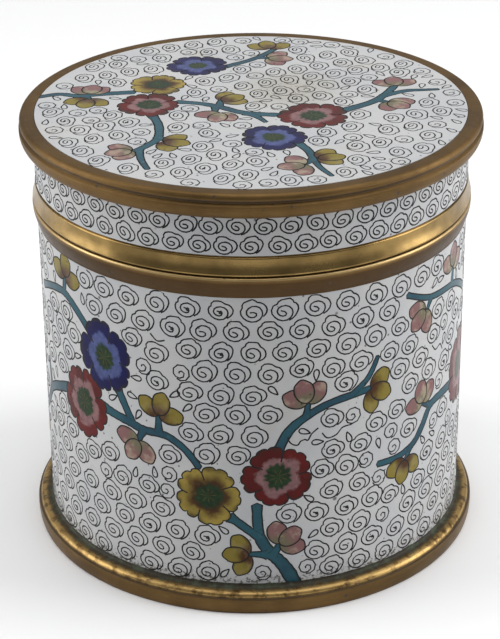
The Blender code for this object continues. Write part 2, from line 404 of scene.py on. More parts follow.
def aged_brass(brass):
    """The dull rings: brown patina, rubbed marks, pits, grime and painted shade in the grooves, painted shade on the
    mouth ring's face, worn brass with painted highlights on the lip and the foot's bead, and verdigris at the foot.
    """
    material, tree, shader, where = bare_material("aged brass")
    height, out, turn = height_and_round(tree, where)
    broad = clouds(tree, where, 70.0, 4.0, 0.6)
    rough = clouds(tree, where, 420.0, 4.0, 0.65)
    marks = scratches(tree, height, out, turn, 2600.0)
    aged = tuple(brass.aged)
    dull = tuple(part * 0.5 for part in aged)
    shade = blend(tree, calc(tree, "MULTIPLY", between(tree, broad, 0.38, 0.68), 0.6), aged, dull)
    shade = blend(tree, calc(tree, "MULTIPLY", between(tree, marks, 0.55, 0.72), 0.30), shade, srgb(168, 142, 96))
    # The mouth ring's lip: worn brass with a painted highlight along it
    lip = calc(tree, "MULTIPLY", between(tree, height, 0.0768, 0.0774), between(tree, height, 0.0779, 0.0776))
    lip = calc(tree, "MULTIPLY", lip, between(tree, out, 0.0465, 0.0470))
    # The foot's bead: rubbed brass with a painted highlight on it
    bead = calc(tree, "MULTIPLY", between(tree, height, 0.0030, 0.0038), between(tree, height, 0.0056, 0.0050))
    bead = calc(tree, "MULTIPLY", bead, between(tree, out, 0.0474, 0.0486))
    bead = calc(tree, "MULTIPLY", bead, between(tree, out, 0.0496, 0.0494))
    bright = calc(tree, "MAXIMUM", lip, bead)
    # Rubbed patches of the bead in polished brass, which are also a painted highlight
    rubbed = calc(tree, "MULTIPLY", bead, between(tree, rough, 0.34, 0.56))
    shade = blend(tree, calc(tree, "MULTIPLY", rubbed, 0.85), shade, tuple(brass.polished))
    # Painted highlight and wear along the lip
    shade = blend(tree, calc(tree, "MULTIPLY", lip, 0.65), shade, srgb(226, 196, 140))
    # Painted shade: the mouth ring's face below the lip, darkened and browned
    face = calc(tree, "MULTIPLY", between(tree, height, 0.0768, 0.0762), between(tree, height, 0.0720, 0.0726))
    shade = blend(tree, calc(tree, "MULTIPLY", face, 0.75), shade, srgb(62, 45, 29))
    dents = between(tree, scratches(tree, height, out, turn, 1100.0), 0.70, 0.78)
    pits = calc(tree, "MAXIMUM", spots(tree, where, 520.0, 0.20, 0.30), dents)
    # Grime and painted shade in the rim's groove
    groove = calc(tree, "MULTIPLY", between(tree, height, 0.0941, 0.0946), between(tree, height, 0.0952, 0.0949))
    groove = calc(tree, "MULTIPLY", groove, between(tree, out, 0.0480, 0.0486))
    # Grime and painted shade along the foot's groove line
    line = calc(tree, "MULTIPLY", between(tree, height, 0.0032, 0.0035), between(tree, height, 0.0039, 0.0037))
    line = calc(tree, "MULTIPLY", line, between(tree, out, 0.0491, 0.0493))
    groove = calc(tree, "MAXIMUM", groove, calc(tree, "MULTIPLY", line, between(tree, out, 0.0502, 0.0496)))
    # Pits and dents as grime; the grooves as grime and painted shade
    grime_and_groove_shade = calc(tree, "MAXIMUM", calc(tree, "MULTIPLY", pits, 0.75), calc(tree, "MULTIPLY", groove, 0.62))
    shade = blend(tree, grime_and_groove_shade, shade, tuple(brass.grime))
    low = between(tree, height, 0.0064, 0.0058)
    ragged = calc(tree, "MULTIPLY_ADD", clouds(tree, where, 700.0, 4.0, 0.75), 0.0040, out)
    cove = calc(tree, "MULTIPLY", low, between(tree, ragged, 0.0504, 0.0492))
    green = blend(tree, between(tree, rough, 0.46, 0.64), srgb(34, 34, 22), tuple(brass.verdigris))
    shade = blend(tree, calc(tree, "MULTIPLY", cove, 0.9), shade, green)
    tree.links.new(shade, shader.inputs["Base Color"])
    bare = calc(tree, "SUBTRACT", 1.0, calc(tree, "MAXIMUM", cove, grime_and_groove_shade))
    tree.links.new(calc(tree, "MULTIPLY", bare, 0.92), shader.inputs["Metallic"])
    gloss = calc(tree, "MULTIPLY_ADD", rough, 0.24, calc(tree, "MULTIPLY_ADD", cove, 0.3, 0.32))
    gloss = calc(tree, "MULTIPLY_ADD", bright, -0.05, gloss)
    gloss = calc(tree, "MULTIPLY_ADD", between(tree, height, 0.0880, 0.0900), 0.10, gloss)
    tree.links.new(gloss, shader.inputs["Roughness"])
    relief = calc(tree, "SUBTRACT", calc(tree, "MULTIPLY_ADD", marks, 0.6, rough), pits)
    bump(tree, shader, relief, 0.30, 0.00012)
    return material


def polished_brass(brass):
    """The rubbed band round the lid: golden, finely scratched, a few dark stains."""
    material, tree, shader, where = bare_material("polished brass")
    height, out, turn = height_and_round(tree, where)
    broad = clouds(tree, where, 90.0, 3.0, 0.6)
    marks = scratches(tree, height, out, turn, 3200.0)
    stain = between(tree, clouds(tree, where, 160.0, 4.0, 0.65), 0.62, 0.72)
    polished = tuple(part * 0.68 for part in brass.polished)
    shade = blend(tree, between(tree, broad, 0.30, 0.70), polished, tuple(part * 0.52 for part in polished))
    shade = blend(tree, calc(tree, "MULTIPLY", between(tree, marks, 0.6, 0.75), 0.35), shade, srgb(226, 200, 150))
    shade = blend(tree, calc(tree, "MULTIPLY", stain, 0.35), shade, tuple(brass.grime))
    tree.links.new(shade, shader.inputs["Base Color"])
    shader.inputs["Metallic"].default_value = 1.0
    tree.links.new(calc(tree, "MULTIPLY_ADD", broad, 0.12, 0.22), shader.inputs["Roughness"])
    bump(tree, shader, marks, 0.12, 0.0001)
    return material


def floor_finish():
    """The pale floor."""
    material, tree, shader, where = bare_material("pale floor")
    shade = blend(tree, clouds(tree, where, 3.0, 2.0), (0.92, 0.92, 0.92), (0.94, 0.94, 0.94))
    tree.links.new(shade, shader.inputs["Base Color"])
    shader.inputs["Roughness"].default_value = 0.9
    return material


# The pattern's fields


def wave(points, steps=6):
    """A smooth line through points."""
    line = []
    ends = [points[0], *points, points[-1]]
    for first in range(len(points) - 1):
        before, start, stop, after = ends[first:first + 4]
        for step in range(steps):
            t = step / steps
            for_axis = []
            for axis in (0, 1):
                a, b, c, d = before[axis], start[axis], stop[axis], after[axis]
                for_axis.append(
                    0.5 * (2 * b + (c - a) * t + (2 * a - 5 * b + 4 * c - d) * t ** 2
                           + (3 * b - a - 3 * c + d) * t ** 3)
                )
            line.append(tuple(for_axis))
    line.append(tuple(points[-1]))
    return line


class Field:
    """One cell of the pattern: its outline, its enamel, and how a point lies in it."""

    def __init__(self, outline, enamel, key, place_of):
        self.outline = outline
        self.enamel = enamel
        self.key = key
        self.place_of = place_of


def flower(enamel, x, y, width, height, turn, rng):
    """Five scalloped petals with notches between them; also gives the wires down the notches."""
    outline = []
    steps = 26
    key = ("flower", x, y)
    notches = []
    sizes = [rng.uniform(0.93, 1.05) for petal in range(5)]
    shifts = [rng.uniform(-5.0, 5.0) for petal in range(5)]
    for petal in range(5):
        start = turn + 72.0 * petal + shifts[petal]
        stop = turn + 72.0 * (petal + 1) + shifts[(petal + 1) % 5]
        size = sizes[petal]
        deep = rng.uniform(0.07, 0.12)
        lean = rng.uniform(-0.25, 0.25)
        for step in range(steps):
            u = step / steps
            edge = min(u, 1.0 - u)
            bent = u + lean * u * (1.0 - u)
            lobe = 1.0 - deep * (1.0 - abs(math.sin(3.0 * math.pi * bent))) ** 2.2
            round_off = 0.84 + 0.16 * math.sin(math.pi * u) ** 0.45
            reach = size * lobe * round_off
            if edge < 0.055:
                share = edge / 0.055
                reach = 0.74 + (reach - 0.74) * share * (2.0 - share)
            angle = math.radians(start + (stop - start) * u)
            outline.append((x + 0.5 * width * reach * math.cos(angle), y + 0.5 * height * reach * math.sin(angle)))
        angle = math.radians(start)
        depth = rng.uniform(0.46, 0.60)
        bend = math.radians(rng.uniform(-5.0, 5.0))
        line = []
        for share in (0.0, 0.35, 0.7, 1.0):
            reach = 0.74 + (depth - 0.74) * share
            at = angle + bend * share
            line.append((x + 0.5 * width * reach * math.cos(at), y + 0.5 * height * reach * math.sin(at)))
        notches.append(line)
    back = math.radians(-turn)

    def place_of(u, v):
        east = (u - x) / (0.5 * width)
        north = (v - y) / (0.5 * height)
        return (
            east * math.cos(back) - north * math.sin(back),
            east * math.sin(back) + north * math.cos(back),
            0.5,
        )

    return Field(outline, enamel, key, place_of), notches


def buds(enamel, hub, middles, rng):
    """Buds fanned out from a hub, the middle one on top."""
    fields = []
    order = list(range(len(middles)))
    if len(order) == 3:
        order = [0, 2, 1]
    for index in order:
        middle = middles[index]
        run = Vector((middle[0] - hub[0], middle[1] - hub[1]))
        half = min(max(run.length, 2.1), 2.7)
        far = min(run.length, half + 0.1)
        run.normalize()
        middle = (hub[0] + run.x * far, hub[1] + run.y * far)
        side = Vector((-run.y, run.x))
        base = Vector(middle) - run * half
        long = 2.0 * half
        wide = rng.uniform(1.95, 2.2)
        hook = rng.uniform(-0.6, 0.6)
        outline = []
        for step in range(32):
            turn = 2.0 * math.pi * step / 32.0
            way = -math.cos(turn)
            tip = max(0.0, way) ** 0.7
            reach = 1.0 + 0.03 * tip * math.cos(6.0 * turn + 3.0 * hook) + 0.06 * max(0.0, way) ** 8
            along = half * (1.0 + way * reach)
            swell = -wide * math.sin(turn) * reach * (1.0 + 0.06 * way)
            outline.append(base + run * along + side * (swell + 0.6 * hook * (along / long) ** 2))
        points = [(point.x, point.y) for point in outline]

        def place_of(u, v, base=base, run=run, side=side, long=long, wide=wide):
            way = Vector((u, v)) - base
            return (way.dot(run) / long, way.dot(side) / wide, 0.5)

        fields.append(Field(points, enamel, ("bud", middle), place_of))
    return fields


def stem(points, widths, rng):
    """A stem along points, its width given at its start and end; a twig flares where it leaves a stem."""
    line = wave(points)
    whole = sum(math.dist(line[index], line[index + 1]) for index in range(len(line) - 1))
    flare = 0.8 if whole < 9.0 else 0.25
    count = len(line)
    left = []
    right = []
    halves = []
    sides = []
    for index, point in enumerate(line):
        ahead = Vector(line[min(index + 1, count - 1)]) - Vector(line[max(index - 1, 0)])
        side = Vector((-ahead.y, ahead.x)).normalized()
        share = index / (count - 1)
        half = 0.5 * (widths[0] + (widths[1] - widths[0]) * share) * rng.uniform(0.93, 1.07)
        half *= 1.0 + flare * math.exp(-math.dist(line[0], point) / 0.9)
        halves.append(half)
        sides.append(side)
        left.append(Vector(point) + side * half)
        right.append(Vector(point) - side * half)
    way = (Vector(line[-1]) - Vector(line[-2])).normalized()
    cap = [Vector(line[-1]) + way * halves[-1] * 0.5]
    way = (Vector(line[0]) - Vector(line[1])).normalized()
    heel = [Vector(line[0]) + way * halves[0] * 0.5]
    outline = [(point.x, point.y) for point in [*right, *cap, *reversed(left), *heel]]

    def place_of(u, v):
        best = (9e9, 0.0)
        here = Vector((u, v))
        for index, point in enumerate(line):
            off = here - Vector(point)
            if off.length < best[0]:
                best = (off.length, off.dot(sides[index]) / halves[index])
        return (best[1], 0.0, 0.5)

    return Field(outline, "stem", "stem", place_of)


# Layout, in millimetres, written by a scratch script from places read off the photo

# enamel, middle, size, turn of the first notch in degrees
DRUM_FLOWERS = (
    ("red", -41.1, 41.0, 15.0, 16.9, 20.0),
    ("blue", -33.9, 54.0, 14.9, 16.6, 0.0),
    ("yellow", -9.8, 26.8, 14.7, 14.5, 30.0),
    ("red", 5.0, 31.6, 15.5, 15.1, 4.0),
    ("red", 60.8, 40.1, 16.0, 18.6, 40.0),
)
# points, width at the start and the end
DRUM_STEMS = (
    (((-60.8, 60.6), (-53.5, 63.2), (-47.4, 64.2), (-42.7, 62.1), (-37.7, 58.3)), (1.5, 2.0)),
    (((-47.4, 63.7), (-46.8, 67.9)), (1.1, 1.4)),
    (((-66.2, 28.0), (-61.6, 32.3), (-56.9, 37.5), (-47.4, 41.7)), (1.2, 2.3)),
    (((-58.1, 36.5), (-59.3, 43.5)), (1.4, 1.1)),
    (((-30.4, 47.9), (-28.6, 44.4), (-26.9, 41.0)), (1.6, 1.9)),
    (((-34.5, 42.1), (-31.1, 41.4), (-27.7, 40.8), (-24.1, 39.9), (-20.6, 39.9), (-17.9, 39.4), (-14.4, 37.0), (-11.6, 33.3)), (2.1, 1.4)),
    (((-20.4, 40.1), (-20.4, 44.3)), (1.3, 1.2)),
    (((-24.1, 39.8), (-25.5, 37.0)), (1.4, 1.2)),
    (((4.8, 37.4), (7.3, 42.3), (11.5, 45.6), (17.0, 47.8), (25.3, 48.8)), (2.1, 1.4)),
    (((21.0, 48.4), (24.8, 51.4), (27.2, 55.7)), (1.4, 1.0)),
    (((10.9, 45.2), (11.3, 48.5)), (1.1, 1.0)),
    (((0.5, 24.9), (0.6, 20.5), (1.1, 17.0), (2.9, 13.6), (5.5, 10.6), (7.4, 7.4), (8.5, 4.6)), (1.8, 3.2)),
    (((-5.2, 21.9), (-3.9, 21.0), (-1.7, 19.2), (1.0, 17.0)), (1.5, 1.9)),
    (((2.4, 12.8), (-1.8, 13.0)), (1.4, 1.1)),
    (((3.8, 12.6), (5.4, 15.4)), (1.4, 1.2)),
    (((54.8, 38.5), (48.6, 38.6), (44.1, 37.9), (41.2, 34.2), (38.1, 31.2), (33.2, 29.8), (27.7, 30.0)), (2.1, 1.4)),
    (((43.8, 38.2), (40.3, 40.1)), (1.1, 1.0)),
    (((37.3, 30.8), (35.5, 27.9)), (1.1, 1.0)),
    (((35.1, 67.2), (42.8, 64.1), (53.2, 62.8), (58.7, 60.8), (63.8, 57.9)), (1.1, 1.8)),
    (((43.3, 64.0), (41.7, 61.4)), (1.1, 1.0)),
    (((53.1, 63.0), (53.5, 66.6)), (1.1, 1.0)),
)
# enamel, hub, middles of the buds
DRUM_BUDS = (
    ("yellow bud", (-46.7, 68.0), ((-50.5, 69.7), (-46.3, 71.2), (-43.2, 68.1))),
    ("yellow bud", (-66.6, 27.5), ((-68.3, 25.6), (-65.9, 24.0))),
    ("yellow bud", (-20.4, 44.1), ((-23.2, 46.3), (-19.6, 47.5), (-16.8, 44.7))),
    ("pink bud", (-25.4, 36.9), ((-29.2, 37.3), (-27.2, 34.1), (-23.4, 33.9))),
    ("pink bud", (11.2, 48.3), ((7.0, 50.1), (10.2, 52.3), (14.0, 51.4))),
    ("yellow bud", (25.6, 48.6), ((29.1, 51.1), (29.2, 47.0), (25.7, 44.9))),
    ("yellow bud", (-1.3, 12.8), ((-4.0, 16.2), (-5.0, 12.6), (-2.9, 9.5))),
    ("pink bud", (5.2, 15.2), ((4.6, 18.9), (8.6, 17.5), (9.4, 14.0))),
    ("pink bud", (41.0, 39.8), ((44.6, 43.1), (40.1, 43.7), (37.0, 40.4))),
    ("yellow bud", (35.5, 28.2), ((31.6, 26.6), (34.6, 24.5), (39.0, 25.7))),
    ("pink bud", (41.2, 61.8), ((37.4, 63.1), (38.4, 59.7), (41.8, 58.1))),
    ("pink bud", (53.2, 66.9), ((49.2, 69.3), (53.8, 70.9), (57.2, 68.6))),
)
LID_FLOWERS = (
    ("blue", -11.8, 26.0, 13.7, 12.8, 10.0),
    ("yellow", -20.4, 13.8, 12.6, 12.7, 40.0),
    ("red", -21.8, 1.3, 13.4, 13.9, 25.0),
    ("red", 13.1, -6.1, 14.8, 15.4, 5.0),
    ("blue", 4.6, -18.5, 13.8, 14.3, 30.0),
)
LID_STEMS = (
    (((-46.3, 6.6), (-45.0, 7.1), (-41.5, 8.3), (-37.1, 7.0), (-32.7, 8.1), (-25.5, 9.1)), (1.5, 2.2)),
    (((-36.1, 7.0), (-34.2, 3.8)), (1.4, 1.3)),
    (((-15.9, 2.8), (-11.0, 1.7), (-6.8, -0.4), (-2.6, -3.6), (1.4, -5.0), (7.5, -5.8)), (1.8, 2.2)),
    (((-7.0, -0.6), (-6.3, 3.7)), (1.5, 1.3)),
    (((-7.5, -0.4), (-7.8, -4.6)), (1.3, 1.2)),
    (((-21.0, -5.1), (-19.4, -10.8), (-19.2, -18.3), (-21.0, -22.2), (-23.7, -25.6)), (1.9, 1.6)),
    (((-19.4, -17.7), (-17.4, -20.2)), (1.4, 1.2)),
    (((-22.9, -24.6), (-22.2, -30.3), (-20.7, -35.5)), (1.7, 1.1)),
    (((-5.8, 25.1), (-0.1, 29.5), (3.8, 34.2), (6.6, 39.0)), (1.8, 1.3)),
    (((1.5, 31.2), (4.6, 30.8)), (1.3, 1.2)),
    (((19.4, -3.4), (25.8, 1.5), (29.0, 6.2), (31.9, 12.6)), (2.4, 1.5)),
    (((28.5, 5.4), (33.6, 8.4), (37.6, 8.9), (40.8, 9.2)), (1.9, 1.0)),
    (((27.0, 2.8), (29.8, 1.4)), (1.3, 1.2)),
    (((9.5, -21.9), (11.6, -26.3), (12.5, -30.9), (13.7, -35.3), (15.9, -39.8)), (2.0, 0.9)),
    (((12.6, -31.0), (10.6, -33.5)), (1.5, 1.2)),
    (((-0.8, -4.4), (1.4, -6.8), (3.1, -9.8)), (1.8, 1.0)),
)
LID_BUDS = (
    ("yellow bud", (-35.0, 5.1), ((-38.7, 3.5), (-35.7, 1.3), (-32.3, 2.6))),
    ("pink bud", (-35.2, 8.3), ((-37.9, 11.4), (-34.2, 14.0), (-31.1, 12.2))),
    ("yellow bud", (-6.3, 3.3), ((-5.3, 7.0), (-1.8, 6.3), (-1.7, 2.4))),
    ("pink bud", (-6.5, -4.0), ((-9.6, -5.1), (-7.2, -8.3), (-3.8, -8.6))),
    ("yellow bud", (-18.0, -20.4), ((-14.7, -17.9), (-14.0, -21.6), (-17.0, -24.4))),
    ("pink bud", (-24.3, -25.4), ((-27.9, -23.3), (-29.2, -27.0), (-26.8, -30.2))),
    ("yellow bud", (4.4, 37.2), ((-0.7, 39.9), (3.6, 42.1), (8.9, 40.6))),
    ("pink bud", (4.0, 30.8), ((6.5, 33.2), (8.3, 30.2), (6.0, 27.6))),
    ("pink bud", (31.7, 11.8), ((28.3, 14.3), (31.4, 16.1), (34.8, 14.6))),
    ("pink bud", (29.6, 1.8), ((29.4, -1.8), (32.4, -1.1), (33.5, 2.0))),
    ("pink bud", (10.7, -33.8), ((8.1, -30.6), (7.3, -34.8), (10.1, -37.8))),
    ("yellow bud", (13.4, -30.4), ((16.0, -26.6), (18.2, -29.3), (17.6, -33.1))),
)
# Open wires between stems and buds on the drum
DRUM_STRAYS = (
    ((7.0, 40.8), (7.3, 39.8), (8.1, 39.0), (9.1, 38.8), (9.7, 39.6), (10.6, 39.9), (11.3, 39.7), (12.1, 41.1), (13.5, 42.2)),
    ((14.3, 40.9), (15.5, 39.5), (17.5, 39.9), (18.9, 41.3), (21.0, 41.5)),
    ((-21.7, 62.9), (-20.2, 61.5), (-18.4, 61.9)),
    ((44.2, 52.2), (45.7, 50.6), (47.7, 51.1), (48.8, 49.5)),
)
OTHER_ENAMEL = {"red": "blue", "blue": "yellow", "yellow": "red"}


def drum_layout():
    """The fields of the drum: the front spray, and the same one mirrored in other colours behind."""
    rng = random.Random(11)
    stems = []
    flowers = []
    bud_fields = []
    notches = []
    for points, widths in DRUM_STEMS:
        stems.append(stem(points, widths, rng))
    for enamel, x, y, width, height, turn in DRUM_FLOWERS:
        field, wires = flower(enamel, x, y, width, height, turn, rng)
        flowers.append(field)
        notches.extend(wires)
    for enamel, hub, middles in DRUM_BUDS:
        bud_fields.extend(buds(enamel, hub, middles, rng))
    half = 0.5 * ROUND_DRUM
    for points, widths in DRUM_STEMS:
        stems.append(stem([(half - x, y) for x, y in points], widths, rng))
    for enamel, x, y, width, height, turn in DRUM_FLOWERS:
        other = OTHER_ENAMEL[enamel]
        field, wires = flower(other, half - x, y, width, height, 36.0 - turn, rng)
        flowers.append(field)
        notches.extend(wires)
    for enamel, hub, middles in DRUM_BUDS:
        turned = [(half - x, y) for x, y in middles]
        bud_fields.extend(buds(enamel, (half - hub[0], hub[1]), turned, rng))
    return [*stems, *bud_fields, *flowers], notches


def lid_layout():
    """The fields of the lid's top."""
    rng = random.Random(23)
    fields = [stem(points, widths, rng) for points, widths in LID_STEMS]
    notches = []
    for enamel, hub, middles in LID_BUDS:
        fields.extend(buds(enamel, hub, middles, rng))
    for enamel, x, y, width, height, turn in LID_FLOWERS:
        field, wires = flower(enamel, x, y, width, height, turn, rng)
        fields.append(field)
        notches.extend(wires)
    return fields, notches


# Shells


def drum_point(way, height):
    """A point of the drum's unrolled face, in metres; past its ends it runs in under the brass."""
    level = min(max(height, DRUM_LOW), DRUM_HIGH)
    radius = DRUM_R - abs(height - level)
    angle = way / DRUM_R
    return Vector((radius * math.sin(angle), -radius * math.cos(angle), level)) * MM


def plate_point(x, y):
    """A point of the lid's top, in metres; past its edge it runs down inside the rim."""
    out = math.hypot(x, y)
    if out <= PLATE_R:
        return Vector((x, y, LID_HIGH)) * MM
    shrink = PLATE_R / out
    return Vector((x * shrink, y * shrink, LID_HIGH - (out - PLATE_R))) * MM


def inside_outline(point, outline):
    """Whether a point lies inside an outline."""
    x, y = point
    odd = False
    before = outline[-1]
    for here in outline:
        if (here[1] > y) != (before[1] > y):
            if x < (before[0] - here[0]) * (y - here[1]) / (before[1] - here[1]) + here[0]:
                odd = not odd
        before = here
    return odd


def cut_fields(border, creases, free, fields):
    """Cut the unrolled face into triangles along the fields' outlines.

    Gives the points, the triangles, the field of each (or None) and the edges between fields.
    """
    points = [Vector(point) for point in border]
    faces = [list(range(len(points)))]
    edges = []
    for crease in creases:
        start = len(points)
        points.extend(Vector(point) for point in crease)
        count = len(crease)
        edges.extend((start + index, start + index + 1) for index in range(count - 1))
    outline_tree = KDTree(sum(len(field.outline) for field in fields))
    for field in fields:
        start = len(points)
        points.extend(Vector(point) for point in field.outline)
        faces.append(list(range(start, start + len(field.outline))))
        for point in field.outline:
            outline_tree.insert((*point, 0.0), 0)
    outline_tree.balance()
    for point in free:
        if outline_tree.find((*point, 0.0))[2] > 0.5:
            points.append(Vector(point))
    made = delaunay_2d_cdt(points, edges, faces, 1, 0.0005)
    corners, triangles, sources = made[0], made[2], made[5]
    owners = []
    for source in sources:
        top = max(source) if source else 0
        owners.append(fields[top - 1] if top else None)
    sides = {}
    for index, triangle in enumerate(triangles):
        for first, second in zip(triangle, [*triangle[1:], triangle[0]]):
            sides.setdefault((min(first, second), max(first, second)), []).append(index)
    wires = []
    for pair, both in sides.items():
        if len(both) == 2:
            keys = [owners[index].key if owners[index] else None for index in both]
            if keys[0] != keys[1]:
                wires.append(pair)
    return corners, triangles, owners, wires


def enamel_shell(name, face, fold, turned, first_angle, finishes, normal_of):
    """A closed shell: its enamelled face from the pattern, the rest of it turned."""
    corners, triangles, owners = face
    shape = bmesh.new()
    field_layer = shape.loops.layers.float_vector.new("field")
    slots = list(finishes)
    made = [shape.verts.new(fold(corner.x, corner.y)) for corner in corners]
    for triangle, owner in zip(triangles, owners):
        new = shape.faces.new([made[index] for index in triangle])
        new.material_index = slots.index(owner.enamel) if owner else slots.index("white")
        if owner:
            for loop, index in zip(new.loops, triangle):
                loop[field_layer] = owner.place_of(corners[index].x, corners[index].y)
    for finish, outline in turned:
        rings = []
        for radius, height in outline:
            ring = []
            for step in range(AROUND):
                angle = first_angle + 2.0 * math.pi * step / AROUND
                spot = Vector((radius * math.cos(angle), radius * math.sin(angle), height))
                ring.append(shape.verts.new(spot * MM))
            rings.append(ring)
        for upper, lower in zip(rings, rings[1:]):
            for step in range(AROUND):
                follow = (step + 1) % AROUND
                new = shape.faces.new((upper[step], upper[follow], lower[follow], lower[step]))
                new.material_index = slots.index(finish)
    bmesh.ops.remove_doubles(shape, verts=shape.verts, dist=0.000002)
    bmesh.ops.recalc_face_normals(shape, faces=shape.faces)
    open_edges = sum(1 for edge in shape.edges if not edge.is_manifold)
    if open_edges:
        print(name, "has", open_edges, "open edges")
    mesh = bpy.data.meshes.new(name)
    shape.to_mesh(mesh)
    shape.free()
    mesh.shade_smooth()
    mesh.set_sharp_from_angle(angle=math.radians(40.0))
    normals = [Vector(corner.vector) for corner in mesh.corner_normals]
    for polygon in mesh.polygons:
        if polygon.material_index != slots.index("inside"):
            for loop in polygon.loop_indices:
                co = mesh.vertices[mesh.loops[loop].vertex_index].co
                exact = normal_of(co, polygon.normal)
                if exact:
                    normals[loop] = exact
    mesh.normals_split_custom_set(normals)
    for finish in finishes.values():
        mesh.materials.append(finish)
    piece = bpy.data.objects.new(name, mesh)
    bpy.context.scene.collection.objects.link(piece)
    return piece


def joined_to_box(piece, node):
    """Hang a finished piece on the root body and hide the CAD part that it stands for."""
    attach(piece, "root")
    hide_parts(node)


# Geometry Nodes


def new_tree(name, inputs):
    """A geometry tree with its input and output nodes; gives both and the tree."""
    tree = bpy.data.node_groups.new(name, "GeometryNodeTree")
    tree.interface.new_socket(name="Geometry", in_out="INPUT", socket_type="NodeSocketGeometry")
    for label, kind in inputs:
        tree.interface.new_socket(name=label, in_out="INPUT", socket_type=kind)
    tree.interface.new_socket(name="Geometry", in_out="OUTPUT", socket_type="NodeSocketGeometry")
    source = tree.nodes.new("NodeGroupInput")
    result = tree.nodes.new("NodeGroupOutput")
    return tree, source.outputs, result.inputs


def run_tree(name, mesh, tree, values):
    """Run a geometry tree on a mesh and keep the result as a plain object."""
    carrier = bpy.data.objects.new(name + " source", mesh)
    bpy.context.scene.collection.objects.link(carrier)
    modifier = carrier.modifiers.new("shape", "NODES")
    modifier.node_group = tree
    identifiers = {}
    for item in tree.interface.items_tree:
        if item.item_type == "SOCKET" and item.in_out == "INPUT":
            identifiers[item.name] = item.identifier
    for label, value in values.items():
        modifier[identifiers[label]] = value
    depsgraph = bpy.context.evaluated_depsgraph_get()
    result = bpy.data.meshes.new_from_object(carrier.evaluated_get(depsgraph))
    carrier.modifiers.clear()
    bpy.data.objects.remove(carrier)
    bpy.data.meshes.remove(mesh)
    if not result.polygons:
        raise RuntimeError(name + " came out empty")
    result.name = name
    piece = bpy.data.objects.new(name, result)
    bpy.context.scene.collection.objects.link(piece)
    return piece


def roof_over(tree, wires, width, proud, sink):
    """Give flat curves the low roof shape of a ground-down wire."""
    half = calc(tree, "MULTIPLY", width, 0.5)
    left = place(tree, "ShaderNodeCombineXYZ", {"X": calc(tree, "MULTIPLY", half, -1.0), "Y": sink})
    right = place(tree, "ShaderNodeCombineXYZ", {"X": half, "Y": sink})
    crown = calc(tree, "MULTIPLY_ADD", proud, -2.0, calc(tree, "MULTIPLY", sink, -1.0))
    middle = place(tree, "ShaderNodeCombineXYZ", {"Y": crown})
    roof = place(
        tree,
        "GeometryNodeCurveQuadraticBezier",
        {"Resolution": 2, "Start": left.outputs[0], "Middle": middle.outputs[0], "End": right.outputs[0]},
    )
    level = place(tree, "GeometryNodeSetCurveNormal", {"Curve": wires}, mode="Z_UP")
    swept = place(tree, "GeometryNodeCurveToMesh", {"Curve": level.outputs[0], "Profile Curve": roof.outputs[0]})
    return swept.outputs[0]


def wrap_round(tree, flat, radius, low, high):
    """Lay a flat mesh on a cylinder; past its ends it runs in under the brass."""
    where = place(tree, "GeometryNodeInputPosition").outputs[0]
    parts = place(tree, "ShaderNodeSeparateXYZ", {0: where}).outputs
    level = calc(tree, "MINIMUM", calc(tree, "MAXIMUM", parts[1], low), high)
    over = calc(tree, "ABSOLUTE", calc(tree, "SUBTRACT", parts[1], level))
    out = calc(tree, "SUBTRACT", calc(tree, "ADD", radius, parts[2]), over)
    angle = calc(tree, "DIVIDE", parts[0], radius)
    spot = place(
        tree,
        "ShaderNodeCombineXYZ",
        {
            "X": calc(tree, "MULTIPLY", out, calc(tree, "SINE", angle)),
            "Y": calc(tree, "MULTIPLY", calc(tree, "MULTIPLY", out, calc(tree, "COSINE", angle)), -1.0),
            "Z": level,
        },
    )
    moved = place(tree, "GeometryNodeSetPosition", {"Geometry": flat, "Position": spot.outputs[0]})
    return moved.outputs[0]


def lay_on_plate(tree, flat, radius, high):
    """Lay a flat mesh on the lid's top; past the edge it runs down inside the rim."""
    where = place(tree, "GeometryNodeInputPosition").outputs[0]
    parts = place(tree, "ShaderNodeSeparateXYZ", {0: where}).outputs
    across = place(tree, "ShaderNodeCombineXYZ", {"X": parts[0], "Y": parts[1]}).outputs[0]
    out = place(tree, "ShaderNodeVectorMath", {0: across}, operation="LENGTH").outputs["Value"]
    kept = calc(tree, "MINIMUM", out, radius)
    over = calc(tree, "SUBTRACT", out, kept)
    shrink = calc(tree, "DIVIDE", kept, calc(tree, "MAXIMUM", out, 0.000001))
    spot = place(
        tree,
        "ShaderNodeCombineXYZ",
        {
            "X": calc(tree, "MULTIPLY", parts[0], shrink),
            "Y": calc(tree, "MULTIPLY", parts[1], shrink),
            "Z": calc(tree, "SUBTRACT", calc(tree, "ADD", parts[2], high), over),
        },
    )
    moved = place(tree, "GeometryNodeSetPosition", {"Geometry": flat, "Position": spot.outputs[0]})
    return moved.outputs[0]


LAY_INPUTS = (
    ("Wire Width", "NodeSocketFloat"),
    ("Proud", "NodeSocketFloat"),
    ("Sink", "NodeSocketFloat"),
    ("Radius", "NodeSocketFloat"),
    ("Low", "NodeSocketFloat"),
    ("High", "NodeSocketFloat"),
    ("Metal", "NodeSocketMaterial"),
)


def finish_wires(tree, source, result, curves, flat_top):
    """The end of both wire trees: roof, wrap, material."""
    swept = roof_over(tree, curves, source["Wire Width"], source["Proud"], source["Sink"])
    if flat_top:
        laid = lay_on_plate(tree, swept, source["Radius"], source["High"])
    else:
        laid = wrap_round(tree, swept, source["Radius"], source["Low"], source["High"])
    plain = place(tree, "GeometryNodeRealizeInstances", {0: laid})
    metal = place(tree, "GeometryNodeSetMaterial", {"Geometry": plain.outputs[0], "Material": source["Metal"]})
    tree.links.new(metal.outputs[0], result[0])
    return tree


